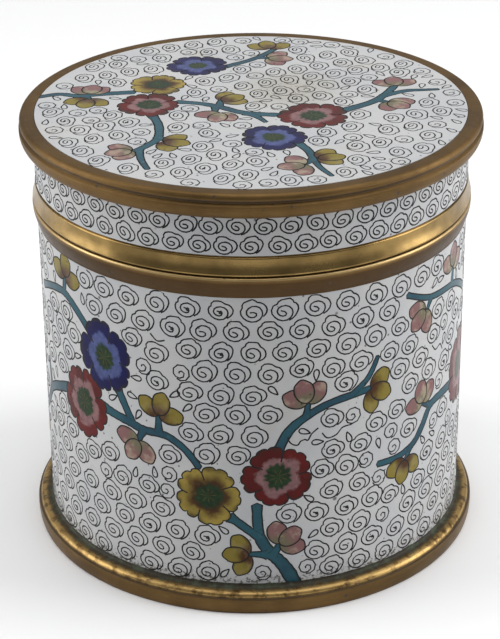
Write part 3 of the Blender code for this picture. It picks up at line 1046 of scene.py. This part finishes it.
def outline_tree(flat_top):
    """Wires along the edges of a flat mesh."""
    tree, source, result = new_tree("outline wires", LAY_INPUTS)
    merged = place(tree, "GeometryNodeMergeByDistance", {"Geometry": source["Geometry"], "Distance": 0.00006})
    curves = place(tree, "GeometryNodeMeshToCurve", {"Mesh": merged.outputs[0]})
    return finish_wires(tree, source, result, curves.outputs[0], flat_top)


def scroll_tree(flat_top):
    """A wire shape on every point, turned, sized and chosen by the point's own values."""
    tree, source, result = new_tree("scroll wires", (*LAY_INPUTS, ("Shapes", "NodeSocketCollection")))
    shapes = place(
        tree,
        "GeometryNodeCollectionInfo",
        {"Collection": source["Shapes"], "Separate Children": True, "Reset Children": True},
    )

    def own(label, kind):
        return place(tree, "GeometryNodeInputNamedAttribute", {"Name": label}, data_type=kind).outputs["Attribute"]

    turned = place(tree, "ShaderNodeCombineXYZ", {"Z": own("turn", "FLOAT")})
    stamped = place(
        tree,
        "GeometryNodeInstanceOnPoints",
        {
            "Points": source["Geometry"],
            "Instance": shapes.outputs[0],
            "Pick Instance": True,
            "Instance Index": own("kind", "INT"),
            "Rotation": turned.outputs[0],
            "Scale": own("stretch", "FLOAT_VECTOR"),
        },
    )
    real = place(tree, "GeometryNodeRealizeInstances", {0: stamped.outputs[0]})
    return finish_wires(tree, source, result, real.outputs[0], flat_top)


# The cloud scrolls: (degrees from the left, clockwise; distance in half widths)
SCROLL_HEART = (
    (20, 0.33), (60, 0.06), (217, 0.15), (254, 0.25), (291, 0.33), (323, 0.43), (345, 0.52), (366, 0.58),
    (391, 0.59), (416, 0.54), (449, 0.52), (483, 0.53), (513, 0.57), (540, 0.59), (562, 0.60), (582, 0.61),
    (610, 0.63), (640, 0.67), (668, 0.74), (691, 0.83),
)
SCROLL_CRESTS = (
    ((711, 0.92), (728, 1.00), (744, 1.02), (761, 0.94), (770, 1.04), (783, 1.08), (807, 1.01), (822, 1.03),
     (833, 0.94), (845, 0.85), (859, 0.92), (874, 0.98), (889, 1.00), (902, 0.98), (915, 0.90), (927, 0.79),
     (941, 0.69)),
    ((710, 0.95), (727, 1.01), (747, 1.01), (764, 0.87), (775, 0.96), (791, 1.00), (810, 1.02), (825, 1.11),
     (839, 1.06), (847, 0.96), (857, 1.04), (870, 1.06), (884, 1.02), (898, 0.92), (916, 0.83), (939, 0.75),
     (960, 0.71)),
    ((714, 0.95), (731, 1.01), (745, 1.01), (754, 0.93), (766, 1.08), (781, 1.12), (798, 1.04), (813, 0.98),
     (828, 0.88), (837, 0.87), (852, 0.97), (868, 1.02), (885, 1.03), (902, 0.95), (920, 0.83), (944, 0.70)),
)
SMALL_SCROLL = (
    (0, 0.16), (60, 0.22), (120, 0.30), (180, 0.40), (240, 0.48), (290, 0.58), (330, 0.68), (360, 0.78),
    (400, 0.90), (440, 0.98), (480, 1.00), (520, 0.98), (560, 0.94), (600, 0.90), (640, 0.84), (672, 0.76),
)
SCROLL_MIDDLE = (0.0, -0.18)


def scroll_points(knots):
    """Points of a scroll, its half width 1."""
    points = []
    for turn, reach in knots:
        angle = math.radians(180.0 - turn)
        points.append((SCROLL_MIDDLE[0] + reach * math.cos(angle), SCROLL_MIDDLE[1] + reach * math.sin(angle)))
    return points


def loop_points():
    """A teardrop loop, its half length 1, its tip to the left."""
    points = []
    for step in range(17):
        u = step / 16.0
        angle = 2.0 * math.pi * u
        points.append((-math.cos(angle), 0.62 * math.sin(angle) * math.sin(angle / 2.0) ** 1.2))
    return points


def wire_shapes():
    """The wire shapes as flat curves in a collection, named in their order."""
    shapes = [scroll_points((*SCROLL_HEART, *crest)) for crest in SCROLL_CRESTS]
    shapes.append(scroll_points(SMALL_SCROLL))
    shapes.append(loop_points())
    shapes.append([(math.cos(turn), math.sin(turn)) for turn in (0.0, 1.26, 2.51, 3.77, 5.03, 6.28)])
    collection = bpy.data.collections.new("wire shapes")
    for number, points in enumerate(shapes):
        curve = bpy.data.curves.new("shape " + str(number), "CURVE")
        spline = curve.splines.new("POLY")
        spline.points.add(len(points) - 1)
        for point, (x, y) in zip(spline.points, points):
            point.co = (x, y, 0.0, 1.0)
        collection.objects.link(bpy.data.objects.new("shape " + str(number), curve))
    return collection


def drop_shapes(collection):
    """Remove the wire shapes once they are stamped."""
    for shape in list(collection.objects):
        data = shape.data
        bpy.data.objects.remove(shape)
        bpy.data.curves.remove(data)
    bpy.data.collections.remove(collection)


SMALL = 3
LOOP = 4
BLOB = 5


class Ground:
    """What is left free for scrolls between the fields."""

    def __init__(self, fields, lines=()):
        self.fields = fields
        marks = [point for line in lines for point in wave(line)]
        for field in fields:
            before = field.outline[-1]
            for here in field.outline:
                gap = math.dist(before, here)
                count = max(1, int(gap / 0.3))
                for step in range(count):
                    share = step / count
                    marks.append((before[0] + (here[0] - before[0]) * share,
                                  before[1] + (here[1] - before[1]) * share))
                before = here
        self.tree = KDTree(len(marks))
        for index, mark in enumerate(marks):
            self.tree.insert((*mark, 0.0), index)
        self.tree.balance()

    def room(self, point):
        """Distance to the nearest field, 0 inside one."""
        near = self.tree.find((*point, 0.0))[2]
        if near < 9.0:
            for field in self.fields:
                if inside_outline(point, field.outline):
                    return 0.0
        return near

    def away(self, point, reach):
        """Move a point off the nearest field until it has room, or as near as a short step gets."""
        here = Vector(point)
        for attempt in range(4):
            near, index, gap = self.tree.find((here.x, here.y, 0.0))
            if gap >= reach:
                break
            step = here - Vector((near[0], near[1]))
            if step.length < 0.0001:
                break
            here = here + step.normalized() * (reach - gap + 0.05)
        return (here.x, here.y)


def scatter(ground, lattice, width, bounds, rng, heading=0.0, squeeze=1.0):
    """Choose where scrolls lie: whole ones first, then small ones and loops in what is left."""
    half = 0.5 * width
    taken = []

    def clear(point, reach):
        for other, other_reach in taken:
            if math.dist(point, other) < (reach + other_reach) * 0.93:
                return False
        return True

    chosen = []
    for point in lattice:
        if ground.room(point) <= 0.0:
            continue
        spot = ground.away(point, half * 1.0)
        if math.dist(spot, point) > half * 0.9:
            continue
        if ground.room(spot) < half * 0.92 or not clear(spot, half * 0.96) or not bounds(spot, half):
            continue
        taken.append((spot, half * 0.96))
        stretch = half * rng.uniform(0.94, 1.05)
        long = stretch * rng.uniform(0.93, 1.06) * squeeze
        way = heading + rng.gauss(0.0, 0.15)
        chosen.append((spot, way, (stretch, long, 1.0), rng.randrange(3)))
        if rng.random() < 0.2:
            middle = Vector((SCROLL_MIDDLE[0] * stretch, SCROLL_MIDDLE[1] * long))
            middle.rotate(Matrix.Rotation(way, 2))
            size = rng.uniform(0.22, 0.34)
            chosen.append(((spot[0] + middle.x, spot[1] + middle.y), 0.0, (size, size, 1.0), BLOB))
    for share, kind in ((0.76, SMALL), (0.50, LOOP)):
        reach = half * share
        for attempt in range(9000):
            base = rng.choice(lattice)
            point = (base[0] + rng.uniform(-width, width), base[1] + rng.uniform(-width, width))
            if not bounds(point, reach) or not clear(point, reach):
                continue
            if ground.room(point) < reach * 1.02:
                continue
            taken.append((point, reach))
            size = reach * 0.98
            turn = rng.gauss(0.0, 0.4)
            if kind == LOOP:
                near = ground.tree.find((*point, 0.0))[0]
                turn = math.atan2(near[1] - point[1], near[0] - point[0]) + math.pi + rng.gauss(0.0, 0.3)
            chosen.append((point, turn, (size, size, 1.0), kind))
    return chosen


def scroll_piece(name, chosen, shapes, flat_top, settings, metal, radius, low, high):
    """Stamp the chosen scrolls and lay them on their face."""
    mesh = bpy.data.meshes.new(name + " points")
    mesh.from_pydata([(x * MM, y * MM, 0.0) for (x, y), turn, stretch, kind in chosen], [], [])
    for label, sort in (("turn", "FLOAT"), ("stretch", "FLOAT_VECTOR"), ("kind", "INT")):
        mesh.attributes.new(label, sort, "POINT")
    for index, (place_in, turn, stretch, kind) in enumerate(chosen):
        mesh.attributes["turn"].data[index].value = turn
        mesh.attributes["stretch"].data[index].vector = [part * MM for part in stretch]
        mesh.attributes["kind"].data[index].value = kind
    values = wire_values(settings, metal, radius, low, high)
    values["Shapes"] = shapes
    piece = run_tree(name, mesh, scroll_tree(flat_top), values)
    piece.data.shade_smooth()
    return piece


def wire_values(settings, metal, radius, low, high):
    """The inputs that all wire trees share."""
    return {
        "Wire Width": settings.width,
        "Proud": settings.proud,
        "Sink": settings.sink,
        "Radius": radius * MM,
        "Low": low * MM,
        "High": high * MM,
        "Metal": metal,
    }


def outline_piece(name, corners, edges, lines, flat_top, settings, metal, radius, low, high):
    """Lay wires along the fields' edges and along extra lines."""
    points = [(corner.x * MM, corner.y * MM, 0.0) for corner in corners]
    pairs = list(edges)
    for line in lines:
        start = len(points)
        points.extend((x * MM, y * MM, 0.0) for x, y in line)
        pairs.extend((start + index, start + index + 1) for index in range(len(line) - 1))
    used = sorted({index for pair in pairs for index in pair})
    order = {index: number for number, index in enumerate(used)}
    mesh = bpy.data.meshes.new(name + " lines")
    mesh.from_pydata([points[index] for index in used], [(order[a], order[b]) for a, b in pairs], [])
    piece = run_tree(name, mesh, outline_tree(flat_top), wire_values(settings, metal, radius, low, high))
    piece.data.shade_smooth()
    return piece


def ring_tree():
    """A closed outline swept round the axis, its surface a little uneven."""
    inputs = (
        ("Around", "NodeSocketInt"),
        ("Unevenness", "NodeSocketFloat"),
        ("Seed", "NodeSocketFloat"),
        ("Metal", "NodeSocketMaterial"),
    )
    tree, source, result = new_tree("turned ring", inputs)
    outline = place(tree, "GeometryNodeMeshToCurve", {"Mesh": source["Geometry"]})
    path = place(tree, "GeometryNodeCurvePrimitiveCircle", {"Resolution": source["Around"], "Radius": 0.01})
    level = place(tree, "GeometryNodeSetCurveNormal", {"Curve": path.outputs[0]}, mode="Z_UP")
    swept = place(
        tree, "GeometryNodeCurveToMesh", {"Curve": level.outputs[0], "Profile Curve": outline.outputs[0]}
    )
    where = place(tree, "GeometryNodeInputPosition").outputs[0]
    parts = place(tree, "ShaderNodeSeparateXYZ", {0: where}).outputs
    noise = place(
        tree,
        "ShaderNodeTexNoise",
        {"Vector": where, "W": source["Seed"], "Scale": 130.0, "Detail": 2.0},
        noise_dimensions="4D",
    )
    share = calc(tree, "MULTIPLY", noise.outputs[0], source["Unevenness"])
    level_out = place(tree, "ShaderNodeCombineXYZ", {"X": parts[0], "Y": parts[1]}).outputs[0]
    outward = place(tree, "ShaderNodeVectorMath", {0: level_out}, operation="NORMALIZE").outputs[0]
    inward = place(
        tree,
        "ShaderNodeVectorMath",
        {0: outward, "Scale": calc(tree, "MULTIPLY", share, -1.0)},
        operation="SCALE",
    )
    moved = place(tree, "GeometryNodeSetPosition", {"Geometry": swept.outputs[0], "Offset": inward.outputs[0]})
    plain = place(tree, "GeometryNodeRealizeInstances", {0: moved.outputs[0]})
    metal = place(tree, "GeometryNodeSetMaterial", {"Geometry": plain.outputs[0], "Material": source["Metal"]})
    tree.links.new(metal.outputs[0], result[0])
    return tree


def arc(radius, height, width, rise, first, last, steps):
    """Points on an elliptical arc about (radius, height), from angle first to last in degrees."""
    points = []
    for step in range(steps + 1):
        angle = math.radians(first + (last - first) * step / steps)
        points.append((radius + width * math.cos(angle), height + rise * math.sin(angle)))
    return points


def foot_outline():
    """The moulded foot: a cove below the enamel, a bead, a sharp groove and a bellied face."""
    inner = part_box("drum")[1].x / MM - 3.0
    return [
        (inner, FOOT_HIGH + 0.25),
        (DRUM_R + 0.05, FOOT_HIGH + 0.25),
        *arc(DRUM_R + 0.55, FOOT_HIGH + 0.10, 0.50, 0.62, 185.0, 262.0, 4),
        *arc(FOOT_R - 1.95, 3.74, 1.34, 1.04, 98.0, 0.0, 12),
        (FOOT_R - 0.62, 3.62),
        (FOOT_R - 0.40, 3.56),
        (FOOT_R - 0.12, 3.50),
        *arc(FOOT_R - 0.5, 2.3, 0.5, 2.3, 24.0, -90.0, 9),
        (FOOT_R - 2.4, 0.0),
        (inner + 0.6, 0.0),
        (inner, 0.6),
    ]


def mouth_outline():
    """The box's edge: the collar, the rounded lip and the face that tapers in to the enamel."""
    collar_in = LID_R - WALL - 1.2
    collar_out = LID_R - WALL - 0.3
    lip = MOUTH_HIGH - 3.0
    face = []
    for step in range(9):
        share = step / 8.0
        face.append((DRUM_R + 0.1 + (MOUTH_R - DRUM_R - 0.1) * (1.0 - share ** 1.6),
                     lip - 0.8 + (MOUTH_LOW + 0.1 - lip + 0.8) * share))
    return [
        (collar_in + 0.2, MOUTH_HIGH),
        (collar_out - 0.2, MOUTH_HIGH),
        (collar_out, MOUTH_HIGH - 0.2),
        (collar_out, lip + 0.1),
        (collar_out + 0.1, lip),
        *arc(MOUTH_R - 0.4, lip - 0.4, 0.4, 0.4, 90.0, 8.0, 5),
        *face,
        (DRUM_R + 0.06, MOUTH_LOW - 0.22),
        (collar_in, MOUTH_LOW - 0.22),
        (collar_in, MOUTH_HIGH - 0.2),
    ]


def band_outline():
    """The polished band: rounded edges, wider at the bottom, faintly hollow between."""
    inner = LID_R - WALL
    return [
        (inner, BAND_HIGH + 0.24),
        (LID_R + 0.08, BAND_HIGH + 0.24),
        *arc(LID_R - 0.2, BAND_HIGH - 0.4, 0.4, 0.4, 70.0, 0.0, 5),
        (LID_R + 0.27, BAND_HIGH - 1.3),
        (LID_R + 0.48, BAND_LOW + 1.4),
        *arc(BAND_R - 0.4, BAND_LOW + 0.4, 0.4, 0.4, 20.0, -90.0, 6),
        (inner + 0.2, BAND_LOW),
        (inner, BAND_LOW + 0.2),
    ]


def rim_outline():
    """The heavy rim: flat on top, a fine groove below its rounded edge, undercut to its lower edge."""
    edge = LID_HIGH - 1.15
    belly = edge - 1.8
    return [
        (PLATE_R + 0.04, LID_HIGH - 0.28),
        (PLATE_R + 0.16, LID_HIGH - 0.05),
        (PLATE_R + 0.40, LID_HIGH),
        (RIM_R - 1.9, LID_HIGH),
        *arc(RIM_R - 1.15, edge, 0.98, 1.15, 96.0, -6.0, 9),
        (RIM_R - 0.36, edge - 0.36),
        (RIM_R - 0.60, edge - 0.58),
        (RIM_R - 0.58, edge - 0.86),
        (RIM_R - 0.26, edge - 1.10),
        *arc(RIM_R - 1.6, belly, 1.6, belly - RIM_LOW, 12.0, -88.0, 11),
        (LID_R + 0.3, RIM_LOW - 0.02),
        (LID_R + 0.04, RIM_LOW - 0.24),
        (PLATE_R + 0.04, RIM_LOW - 0.24),
    ]


def turned_ring(name, outline, seed, metal, brass):
    """A brass ring from its outline."""
    mesh = bpy.data.meshes.new(name + " outline")
    count = len(outline)
    points = [(radius * MM - 0.01, -height * MM, 0.0) for radius, height in outline]
    mesh.from_pydata(points, [(index, (index + 1) % count) for index in range(count)], [])
    values = {"Around": RING_AROUND, "Unevenness": brass.unevenness, "Seed": seed, "Metal": metal}
    piece = run_tree(name, mesh, ring_tree(), values)
    piece.data.shade_smooth()
    piece.data.set_sharp_from_angle(angle=math.radians(38.0))
    return piece


# Operators


class ENAMELBOX_OT_rings(bpy.types.Operator):
    """Make the four turned brass rings"""

    bl_idname = "enamelbox.rings"
    bl_label = "Brass rings"

    def execute(self, context):
        brass = context.scene.enamel_box_brass
        aged = aged_brass(brass)
        polished = polished_brass(brass)
        rings = (
            ("foot_ring_turned", "foot_ring", foot_outline(), 1.0, aged, "aged_brass"),
            ("mouth_ring_turned", "mouth_ring", mouth_outline(), 2.0, aged, "aged_brass"),
            ("lid_band_turned", "lid_band", band_outline(), 3.0, polished, "polished_brass"),
            ("lid_rim_turned", "lid_rim", rim_outline(), 4.0, aged, "aged_brass"),
        )
        for name, node, outline, seed, metal, slot in rings:
            piece = turned_ring(name, outline, seed, metal, brass)
            joined_to_box(piece, node)
        return {"FINISHED"}


# The yellow buds are duller than the petals
BUD_YELLOW = srgb(124, 110, 44)


def enamel_finishes(colours):
    """All the enamels, by the names that the fields use."""
    return {
        "white": white_enamel(colours),
        "inside": inside_enamel(colours),
        "stem": stem_enamel(colours),
        "red": petals("red petals", tuple(colours.red), tuple(colours.red_pale), colours, 0.60, 0.0, 0.69),
        "blue": petals("blue petals", tuple(colours.blue), tuple(colours.blue_pale), colours, 0.58, 0.0, 0.64),
        "yellow": petals("yellow petals", tuple(colours.yellow), tuple(colours.yellow_brown), colours, 0.60, 0.13, 0.69),
        "pink bud": bud("pink bud", tuple(colours.sage), tuple(colours.pink), srgb(70, 64, 44), 0.5),
        "yellow bud": bud("yellow bud", tuple(colours.yellow_brown), BUD_YELLOW, srgb(50, 40, 18), 0.12),
    }


def shared_finishes(colours):
    """The enamels, made once and used again."""
    names = ("white enamel", "inside enamel", "stem enamel", "red petals", "blue petals", "yellow petals",
             "pink bud", "yellow bud")
    if all(name in bpy.data.materials for name in names):
        keys = ("white", "inside", "stem", "red", "blue", "yellow", "pink bud", "yellow bud")
        return {key: bpy.data.materials[name] for key, name in zip(keys, names)}
    return enamel_finishes(colours)


def shared_wire(settings):
    """The wire's metal, made once and used again."""
    return bpy.data.materials.get("cloison wire") or wire_metal(settings)


class ENAMELBOX_OT_drum(bpy.types.Operator):
    """Make the enamelled drum with the wires round its fields"""

    bl_idname = "enamelbox.drum"
    bl_label = "Drum"

    def execute(self, context):
        scene = context.scene
        finishes = shared_finishes(scene.enamel_box_colours)
        fields, notches = drum_layout()
        low = DRUM_LOW - TUCK_BELOW
        high = DRUM_HIGH + TUCK
        ways = [SEAM_START + ROUND_DRUM * step / AROUND for step in range(AROUND + 1)]
        rows = int((DRUM_HIGH - DRUM_LOW) / FIELD_GRID)
        levels = [DRUM_LOW + (DRUM_HIGH - DRUM_LOW) * row / rows for row in range(1, rows)]
        border = [(way, low) for way in ways] + [(ways[-1], DRUM_LOW)]
        border += [(ways[-1], level) for level in levels] + [(ways[-1], DRUM_HIGH)]
        border += [(way, high) for way in reversed(ways)] + [(ways[0], DRUM_HIGH)]
        border += [(ways[0], level) for level in reversed(levels)] + [(ways[0], DRUM_LOW)]
        creases = [[(way, DRUM_LOW) for way in ways], [(way, DRUM_HIGH) for way in ways]]
        free = [(way, level) for level in levels for way in ways[1:-1]]
        corners, triangles, owners, edges = cut_fields(border, creases, free, fields)
        floor_top = DRUM_LOW + 1.8
        inner = DRUM_R - WALL
        outline = [
            (DRUM_R - TUCK, DRUM_HIGH),
            (inner, DRUM_HIGH),
            (inner, 0.5 * (DRUM_HIGH + floor_top)),
            *arc(inner - 1.2, floor_top + 1.2, 1.2, 1.2, 0.0, -90.0, 5),
            (0.5 * inner, floor_top),
            (0.0, floor_top),
        ]
        below = [(0.0, DRUM_LOW), (0.5 * inner, DRUM_LOW), (DRUM_R - TUCK_BELOW, DRUM_LOW)]

        def exact_normal(co, flat):
            if abs(flat.z) > 0.5:
                return None
            return Vector((co.x, co.y, 0.0)).normalized()

        piece = enamel_shell(
            "drum_enamel",
            (corners, triangles, owners),
            drum_point,
            [("inside", outline), ("inside", below)],
            SEAM_START / DRUM_R - math.pi / 2.0,
            finishes,
            exact_normal,
        )
        joined_to_box(piece, "drum")
        metal = shared_wire(scene.enamel_box_wires)
        lines = [*notches, *(wave(line) for line in DRUM_STRAYS)]
        wires = outline_piece(
            "drum_outline_wires", corners, edges, lines, False, scene.enamel_box_wires, metal,
            DRUM_R, DRUM_LOW, DRUM_HIGH,
        )
        joined_to_box(wires, "drum")
        return {"FINISHED"}


class ENAMELBOX_OT_lid(bpy.types.Operator):
    """Make the enamelled lid cap with the wires round its fields"""

    bl_idname = "enamelbox.lid"
    bl_label = "Lid cap"

    def execute(self, context):
        scene = context.scene
        finishes = shared_finishes(scene.enamel_box_colours)
        fields, notches = lid_layout()
        circles = []
        for radius in (PLATE_R + TUCK, PLATE_R):
            circles.append([
                (radius * math.cos(2.0 * math.pi * step / AROUND), radius * math.sin(2.0 * math.pi * step / AROUND))
                for step in range(AROUND)
            ])
        count = int(PLATE_R / FIELD_GRID)
        free = []
        for column in range(-count, count + 1):
            for row in range(-count, count + 1):
                point = (column * FIELD_GRID, row * FIELD_GRID)
                if math.hypot(*point) < PLATE_R - 0.8:
                    free.append(point)
        creases = [[*circles[1], circles[1][0]]]
        corners, triangles, owners, edges = cut_fields(circles[0], creases, free, fields)
        shoulder = RIM_LOW - 0.3
        underside = LID_HIGH - 1.8
        inner = LID_R - WALL
        outline = [
            (PLATE_R, LID_HIGH - TUCK),
            (PLATE_R, shoulder),
            (LID_R, shoulder),
            (LID_R, LID_LOW),
        ]
        lining = [
            (LID_R, LID_LOW),
            (inner, LID_LOW),
            *arc(inner - 1.2, underside - 1.2, 1.2, 1.2, 0.0, 90.0, 5),
            (0.5 * inner, underside),
            (0.0, underside),
        ]

        def exact_normal(co, flat):
            if flat.z > 0.9:
                return Vector((0.0, 0.0, 1.0))
            if abs(flat.z) < 0.5:
                return Vector((co.x, co.y, 0.0)).normalized()
            return None

        piece = enamel_shell(
            "lid_enamel",
            (corners, triangles, owners),
            plate_point,
            [("white", outline), ("inside", lining)],
            0.0,
            finishes,
            exact_normal,
        )
        joined_to_box(piece, "lid_cap")
        metal = shared_wire(scene.enamel_box_wires)
        wires = outline_piece(
            "lid_outline_wires", corners, edges, notches, True, scene.enamel_box_wires, metal,
            PLATE_R, 0.0, LID_HIGH,
        )
        joined_to_box(wires, "lid_cap")
        return {"FINISHED"}


class ENAMELBOX_OT_scrolls(bpy.types.Operator):
    """Lay the cloud scrolls on the white ground"""

    bl_idname = "enamelbox.scrolls"
    bl_label = "Cloud scrolls"

    def execute(self, context):
        settings = context.scene.enamel_box_wires
        metal = shared_wire(settings)
        shapes = wire_shapes()
        rng = random.Random(settings.seed)

        width = settings.scroll_width / MM
        pitch = settings.scroll_pitch / MM
        step_up = settings.row_pitch / MM
        per_row = round(ROUND_DRUM / pitch)
        rows = int((DRUM_HIGH - DRUM_LOW - width * 0.9) / step_up) + 1
        lattice = []
        for row in range(rows):
            for number in range(per_row):
                way = SEAM_START + ROUND_DRUM * (number + 0.5 * (row % 2)) / per_row
                height = DRUM_HIGH - 0.5 * width - step_up * row
                lattice.append((way + rng.uniform(-0.2, 0.2), height + rng.uniform(-0.2, 0.2)))

        def on_drum(point, reach):
            inside = SEAM_START <= point[0] < SEAM_START + ROUND_DRUM - reach
            return inside and DRUM_LOW + reach * 0.8 < point[1] < DRUM_HIGH - reach * 0.8

        fields, notches = drum_layout()
        chosen = scatter(Ground(fields, DRUM_STRAYS), lattice, width, on_drum, rng, 0.0, 1.02)
        piece = scroll_piece("drum_scroll_wires", chosen, shapes, False, settings, metal, DRUM_R, DRUM_LOW, DRUM_HIGH)
        joined_to_box(piece, "drum")

        width = settings.wall_scroll_width / MM
        round_lid = 2.0 * math.pi * LID_R
        per_row = round(round_lid / (width * 1.13))
        middle = 0.5 * (LID_LOW + RIM_LOW)
        chosen = []
        for row, height in ((0, middle - 2.08), (1, middle + 2.08)):
            for number in range(per_row):
                way = round_lid * (number + 0.5 * row) / per_row + rng.uniform(-0.2, 0.2)
                stretch = 0.5 * width * rng.uniform(0.95, 1.04)
                chosen.append(((way, height + rng.uniform(-0.12, 0.12)), rng.gauss(0.0, 0.18),
                               (stretch, stretch * 0.95, 1.0), rng.randrange(3)))
        piece = scroll_piece("lid_wall_scroll_wires", chosen, shapes, False, settings, metal, LID_R, LID_LOW, RIM_LOW - 0.3)
        joined_to_box(piece, "lid_cap")

        width = settings.top_scroll_width / MM
        lattice = []
        for row in range(-14, 15):
            for number in range(-14, 15):
                x = 5.1 * number + 3.3 * row + rng.uniform(-0.2, 0.2)
                y = 1.9 * number - 5.2 * row + rng.uniform(-0.2, 0.2)
                if math.hypot(x, y) < PLATE_R:
                    lattice.append((x, y))

        def on_plate(point, reach):
            return math.hypot(*point) < PLATE_R - reach * 0.9

        fields, notches = lid_layout()
        chosen = scatter(Ground(fields), lattice, 5.9, on_plate, rng, -0.5 * math.pi, width / 5.9)
        piece = scroll_piece("lid_top_scroll_wires", chosen, shapes, True, settings, metal, PLATE_R, 0.0, LID_HIGH)
        joined_to_box(piece, "lid_cap")
        drop_shapes(shapes)
        return {"FINISHED"}


# Camera, measured from the photo
CAMERA_PLACE = (0.0, -0.43358, 0.25768)
CAMERA_PITCH = math.radians(26.088)
CAMERA_YAW = math.radians(-0.086)
CAMERA_ROLL = math.radians(-0.568)
CAMERA_LENS = 121.28


class ENAMELBOX_OT_stage(bpy.types.Operator):
    """Make the pale floor, the soft light and the camera"""

    bl_idname = "enamelbox.stage"
    bl_label = "Stage"

    def execute(self, context):
        scene = context.scene
        mesh = bpy.data.meshes.new("floor")
        half = 0.8
        mesh.from_pydata([(-half, -half, 0.0), (half, -half, 0.0), (half, half, 0.0), (-half, half, 0.0)], [], [(0, 1, 2, 3)])
        mesh.materials.append(floor_finish())
        floor = bpy.data.objects.new("floor", mesh)
        scene.collection.objects.link(floor)

        world = bpy.data.worlds.new("pale room")
        world.use_nodes = True
        world.node_tree.nodes["Background"].inputs["Color"].default_value = (0.95, 0.97, 1.0, 1.0)
        seen = place(world.node_tree, "ShaderNodeLightPath").outputs["Is Camera Ray"]
        strength = calc(world.node_tree, "MULTIPLY_ADD", seen, 0.83, 0.17)
        world.node_tree.links.new(strength, world.node_tree.nodes["Background"].inputs["Strength"])
        scene.world = world
        lights = (
            ("left softbox", (-0.80, 0.0, 0.35), 0.5, 0.9, 5.6),
            ("right softbox", (0.80, 0.0, 0.35), 0.5, 0.9, 6.6),
            ("top softbox", (0.05, 0.0, 0.95), 0.9, 0.9, 5.7),
            ("back softbox", (0.0, 1.0, 0.55), 1.6, 0.6, 1.6),
        )
        for name, spot, width, height, power in lights:
            data = bpy.data.lights.new(name, "AREA")
            data.shape = "RECTANGLE"
            data.size = width
            data.size_y = height
            data.energy = power
            lamp = bpy.data.objects.new(name, data)
            lamp.location = spot
            lamp.rotation_euler = (Vector((0.0, 0.0, 0.05)) - Vector(spot)).to_track_quat("-Z", "Y").to_euler()
            scene.collection.objects.link(lamp)

        data = bpy.data.cameras.new("camera")
        data.lens = CAMERA_LENS
        data.sensor_width = 36.0
        data.clip_start = 0.01
        camera = bpy.data.objects.new("camera", data)
        turn = (
            Matrix.Rotation(-CAMERA_YAW, 4, "Z")
            @ Matrix.Rotation(math.pi / 2.0 - CAMERA_PITCH, 4, "X")
            @ Matrix.Rotation(CAMERA_ROLL, 4, "Z")
        )
        camera.matrix_world = Matrix.Translation(CAMERA_PLACE) @ turn
        scene.collection.objects.link(camera)
        scene.camera = camera
        scene.view_settings.view_transform = "Standard"
        return {"FINISHED"}


class ENAMELBOX_PT_panel(bpy.types.Panel):
    """The box's pieces, in the order they are made"""

    bl_idname = "ENAMELBOX_PT_panel"
    bl_label = "Enamel box"
    bl_space_type = "VIEW_3D"
    bl_region_type = "UI"
    bl_category = "Enamel box"

    def draw(self, context):
        layout = self.layout
        for operator in OPERATORS:
            layout.operator(operator.bl_idname)
        for settings in (
            context.scene.enamel_box_colours,
            context.scene.enamel_box_wires,
            context.scene.enamel_box_brass,
        ):
            for name in settings.__annotations__:
                layout.prop(settings, name)


OPERATORS = (
    ENAMELBOX_OT_rings,
    ENAMELBOX_OT_drum,
    ENAMELBOX_OT_lid,
    ENAMELBOX_OT_scrolls,
    ENAMELBOX_OT_stage,
)
CLASSES = (EnamelBoxColours, EnamelBoxWires, EnamelBoxBrass, *OPERATORS, ENAMELBOX_PT_panel)

bl_info = {
    "name": "Enamel box",
    "version": (1, 0, 0),
    "blender": (4, 5, 0),
    "location": "View3D > Sidebar > Enamel box",
    "description": "Makes a round cloisonne box with turned brass rings",
    "category": "Add Mesh",
}


def register():
    for kind in CLASSES:
        bpy.utils.register_class(kind)
    bpy.types.Scene.enamel_box_colours = bpy.props.PointerProperty(type=EnamelBoxColours)
    bpy.types.Scene.enamel_box_wires = bpy.props.PointerProperty(type=EnamelBoxWires)
    bpy.types.Scene.enamel_box_brass = bpy.props.PointerProperty(type=EnamelBoxBrass)


def unregister():
    del bpy.types.Scene.enamel_box_brass
    del bpy.types.Scene.enamel_box_wires
    del bpy.types.Scene.enamel_box_colours
    for kind in reversed(CLASSES):
        bpy.utils.unregister_class(kind)


def main():
    register()
    bpy.ops.enamelbox.rings()
    bpy.ops.enamelbox.drum()
    bpy.ops.enamelbox.lid()
    bpy.ops.enamelbox.scrolls()
    bpy.ops.enamelbox.stage()


if __name__ == "__main__":
    main()
